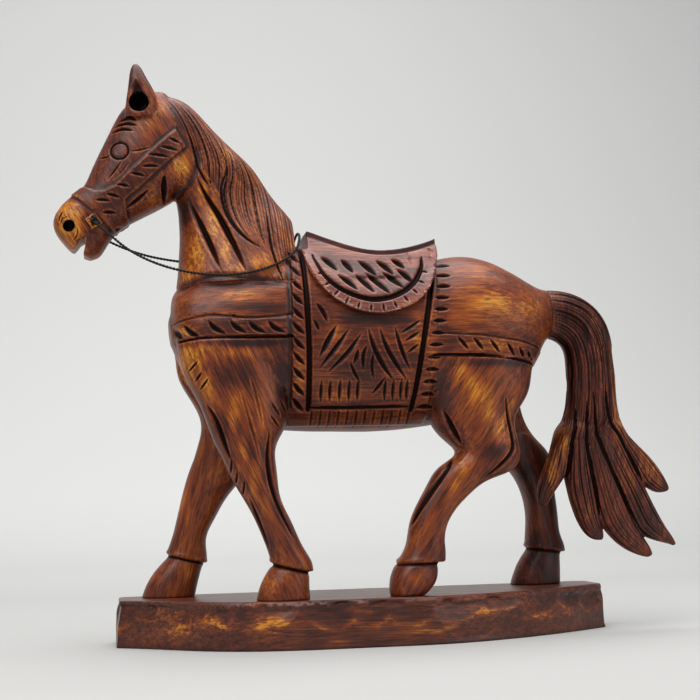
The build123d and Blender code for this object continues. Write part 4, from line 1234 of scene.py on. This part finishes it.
# ---------------------------------------------------------------- reins and hardware
REIN_ROUTE = [  # the part's own route, in metres
    (-0.1303, -0.0140, 0.2048), (-0.1246, -0.0178, 0.1994), (-0.1130, -0.0226, 0.1884),
    (-0.0970, -0.0264, 0.1806),
    (-0.0790, -0.0286, 0.1766), (-0.0600, -0.0296, 0.1768), (-0.0445, -0.0278, 0.1814),
    (-0.0335, -0.0224, 0.1888),
    (-0.0302, -0.0145, 0.1976), (-0.0298, -0.0050, 0.2020), (-0.0298, 0.0050, 0.2020),
    (-0.0304, 0.0145, 0.1980),
    (-0.0365, 0.0220, 0.1934), (-0.0500, 0.0254, 0.1914), (-0.0680, 0.0256, 0.1908),
    (-0.0870, 0.0240, 0.1918),
    (-0.1050, 0.0212, 0.1944), (-0.1196, 0.0178, 0.1992), (-0.1276, 0.0152, 0.2032),
    (-0.1303, 0.0140, 0.2048),
]


def smooth_line(points):
    """Points read from one open NURBS spline."""
    curve = bpy.data.curves.new("line", "CURVE")
    curve.dimensions = "3D"
    curve.resolution_u = 16
    spline = curve.splines.new("NURBS")
    spline.points.add(len(points) - 1)
    for held, spot in zip(spline.points, points):
        held.co = (*spot, 1.0)
    spline.order_u = 3
    spline.use_endpoint_u = True
    holder = bpy.data.objects.new("line", curve)
    bpy.context.scene.collection.objects.link(holder)
    mesh = bpy.data.meshes.new_from_object(holder)
    found = [v.co.copy() for v in mesh.vertices]
    bpy.data.objects.remove(holder)
    return found


def strand_mesh(name, line, radius, offset=0.0, twist=1.0, strands=1, sides=8):
    """Tubes that wind about a line, joined in one mesh."""
    frames = []
    normal = Vector((0, 0, 1))
    travelled = 0.0
    for i, spot in enumerate(line):
        ahead = (line[min(i + 1, len(line) - 1)] - line[max(i - 1, 0)]).normalized()
        normal = (normal - ahead * normal.dot(ahead)).normalized()
        travelled += (spot - line[i - 1]).length if i else 0.0
        frames.append((spot, ahead, normal.copy(), ahead.cross(normal), travelled))
    builder = bmesh.new()
    for strand in range(strands):
        rings = []
        for spot, ahead, normal, other, travelled in frames:
            turn = 2 * math.pi * (travelled / twist + strand / strands)
            middle = spot + (normal * math.cos(turn) + other * math.sin(turn)) * offset
            ring = []
            for side in range(sides):
                angle = 2 * math.pi * side / sides
                out = normal * math.cos(angle) + other * math.sin(angle)
                ring.append(builder.verts.new(middle + out * radius))
            rings.append(ring)
        for ring, following in zip(rings, rings[1:]):
            for side in range(sides):
                after = (side + 1) % sides
                builder.faces.new((ring[side], ring[after], following[after], following[side]))
        builder.faces.new(rings[0][::-1])
        builder.faces.new(rings[-1])
    bmesh.ops.recalc_face_normals(builder, faces=builder.faces)
    mesh = bpy.data.meshes.new(name)
    builder.to_mesh(mesh)
    builder.free()
    piece = bpy.data.objects.new(name, mesh)
    bpy.context.scene.collection.objects.link(piece)
    return piece


def even(line, step):
    """The same line with points step apart."""
    spots = np.array([tuple(p) for p in line])
    gone = np.concatenate([[0], np.cumsum(np.linalg.norm(np.diff(spots, axis=0), axis=1))])
    marks = np.linspace(0, gone[-1], max(2, int(gone[-1] / step) + 1))
    return [Vector([np.interp(m, gone, spots[:, i]) for i in range(3)]) for m in marks]


class HORSE_OT_reins(bpy.types.Operator):
    """Twisted cord reins over the withers, with a knot in each bit hole"""
    bl_idname = "horse.reins"
    bl_label = "Reins"

    def execute(self, context):
        setting = context.scene.horse_cord
        cord_look = waxed_cord()
        knots = [self.knot(setting, side_name, cord_look) for side_name in ("left", "right")]
        line = even(smooth_line(REIN_ROUTE), 0.35 * MM)
        strand = 0.3 * setting.diameter
        piece = strand_mesh("twisted_reins", line, strand, setting.diameter / 2 - strand, setting.twist,
                            strands=2)
        dress(piece, cord_look, "reins")
        return {"FINISHED"}

    def knot(self, setting, side_name, cord_look):
        """Overhand knot that fills the mouth of a bit hole, with its tail pushed in."""
        low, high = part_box("rein_knot_" + side_name)
        side = -1 if side_name == "left" else 1
        centre = (low + high) / 2
        centre.y = (high.y if side > 0 else low.y) - side * 2.4 * MM
        turns = []
        for step in range(61):
            t = 2 * math.pi * step / 60
            round_part = (math.sin(t) + 2 * math.sin(2 * t), -math.sin(3 * t),
                          math.cos(t) - 2 * math.cos(2 * t))
            down, across = 0.85 * round_part[0], 0.42 * round_part[2]
            bend = Vector(((down + across) * 0.7, round_part[1] * 0.8, (across - down) * 0.7))
            turns.append(centre + bend * MM)
        piece = strand_mesh("knot_" + side_name, turns, 0.7 * MM, sides=10)
        inner = [centre, centre - Vector((0, side * 3.5 * MM, 0)), centre - Vector((0, side * 5.0 * MM, 0))]
        stem = strand_mesh("stem", inner, 1.1 * MM, sides=12)
        pick(stem, piece)
        bpy.ops.object.join()
        dress(piece, cord_look, "rein_knot_" + side_name)
        return piece


class HORSE_OT_hardware(bpy.types.Operator):
    """Finish of the hidden dowels and hoof screws"""
    bl_idname = "horse.hardware"
    bl_label = "Dowels and screws"

    def execute(self, context):
        for names, look in ((HIDDEN_RODS, beech()), (HIDDEN_SCREWS, zinc_steel())):
            for name in names:
                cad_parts[name].data.materials.clear()
                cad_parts[name].data.materials.append(look)
        return {"FINISHED"}


OPERATORS = (HORSE_OT_stage, HORSE_OT_reins, HORSE_OT_horse, HORSE_OT_saddle, HORSE_OT_tail,
             HORSE_OT_plinth, HORSE_OT_hardware)


class HORSE_PT_panel(bpy.types.Panel):
    """Everything this add-on carves"""
    bl_idname = "HORSE_PT_panel"
    bl_label = "Carved horse"
    bl_space_type = "VIEW_3D"
    bl_region_type = "UI"
    bl_category = "Carving"

    def draw(self, context):
        for operator in OPERATORS:
            self.layout.operator(operator.bl_idname)
        for group in (context.scene.horse_stage, context.scene.horse_carving, context.scene.horse_cord):
            for key in group.__annotations__:
                self.layout.prop(group, key)


CLASSES = (StageSettings, CarvingSettings, CordSettings) + OPERATORS + (HORSE_PT_panel,)


def register():
    for each in CLASSES:
        bpy.utils.register_class(each)
    bpy.types.Scene.horse_stage = bpy.props.PointerProperty(type=StageSettings)
    bpy.types.Scene.horse_carving = bpy.props.PointerProperty(type=CarvingSettings)
    bpy.types.Scene.horse_cord = bpy.props.PointerProperty(type=CordSettings)


def unregister():
    del bpy.types.Scene.horse_cord, bpy.types.Scene.horse_carving, bpy.types.Scene.horse_stage
    for each in reversed(CLASSES):
        bpy.utils.unregister_class(each)


def main():
    """Build everything in order."""
    register()
    bpy.ops.horse.stage()
    bpy.ops.horse.reins()
    bpy.ops.horse.horse()
    bpy.ops.horse.saddle()
    bpy.ops.horse.tail()
    bpy.ops.horse.plinth()
    bpy.ops.horse.hardware()


if __name__ == "__main__":
    main()
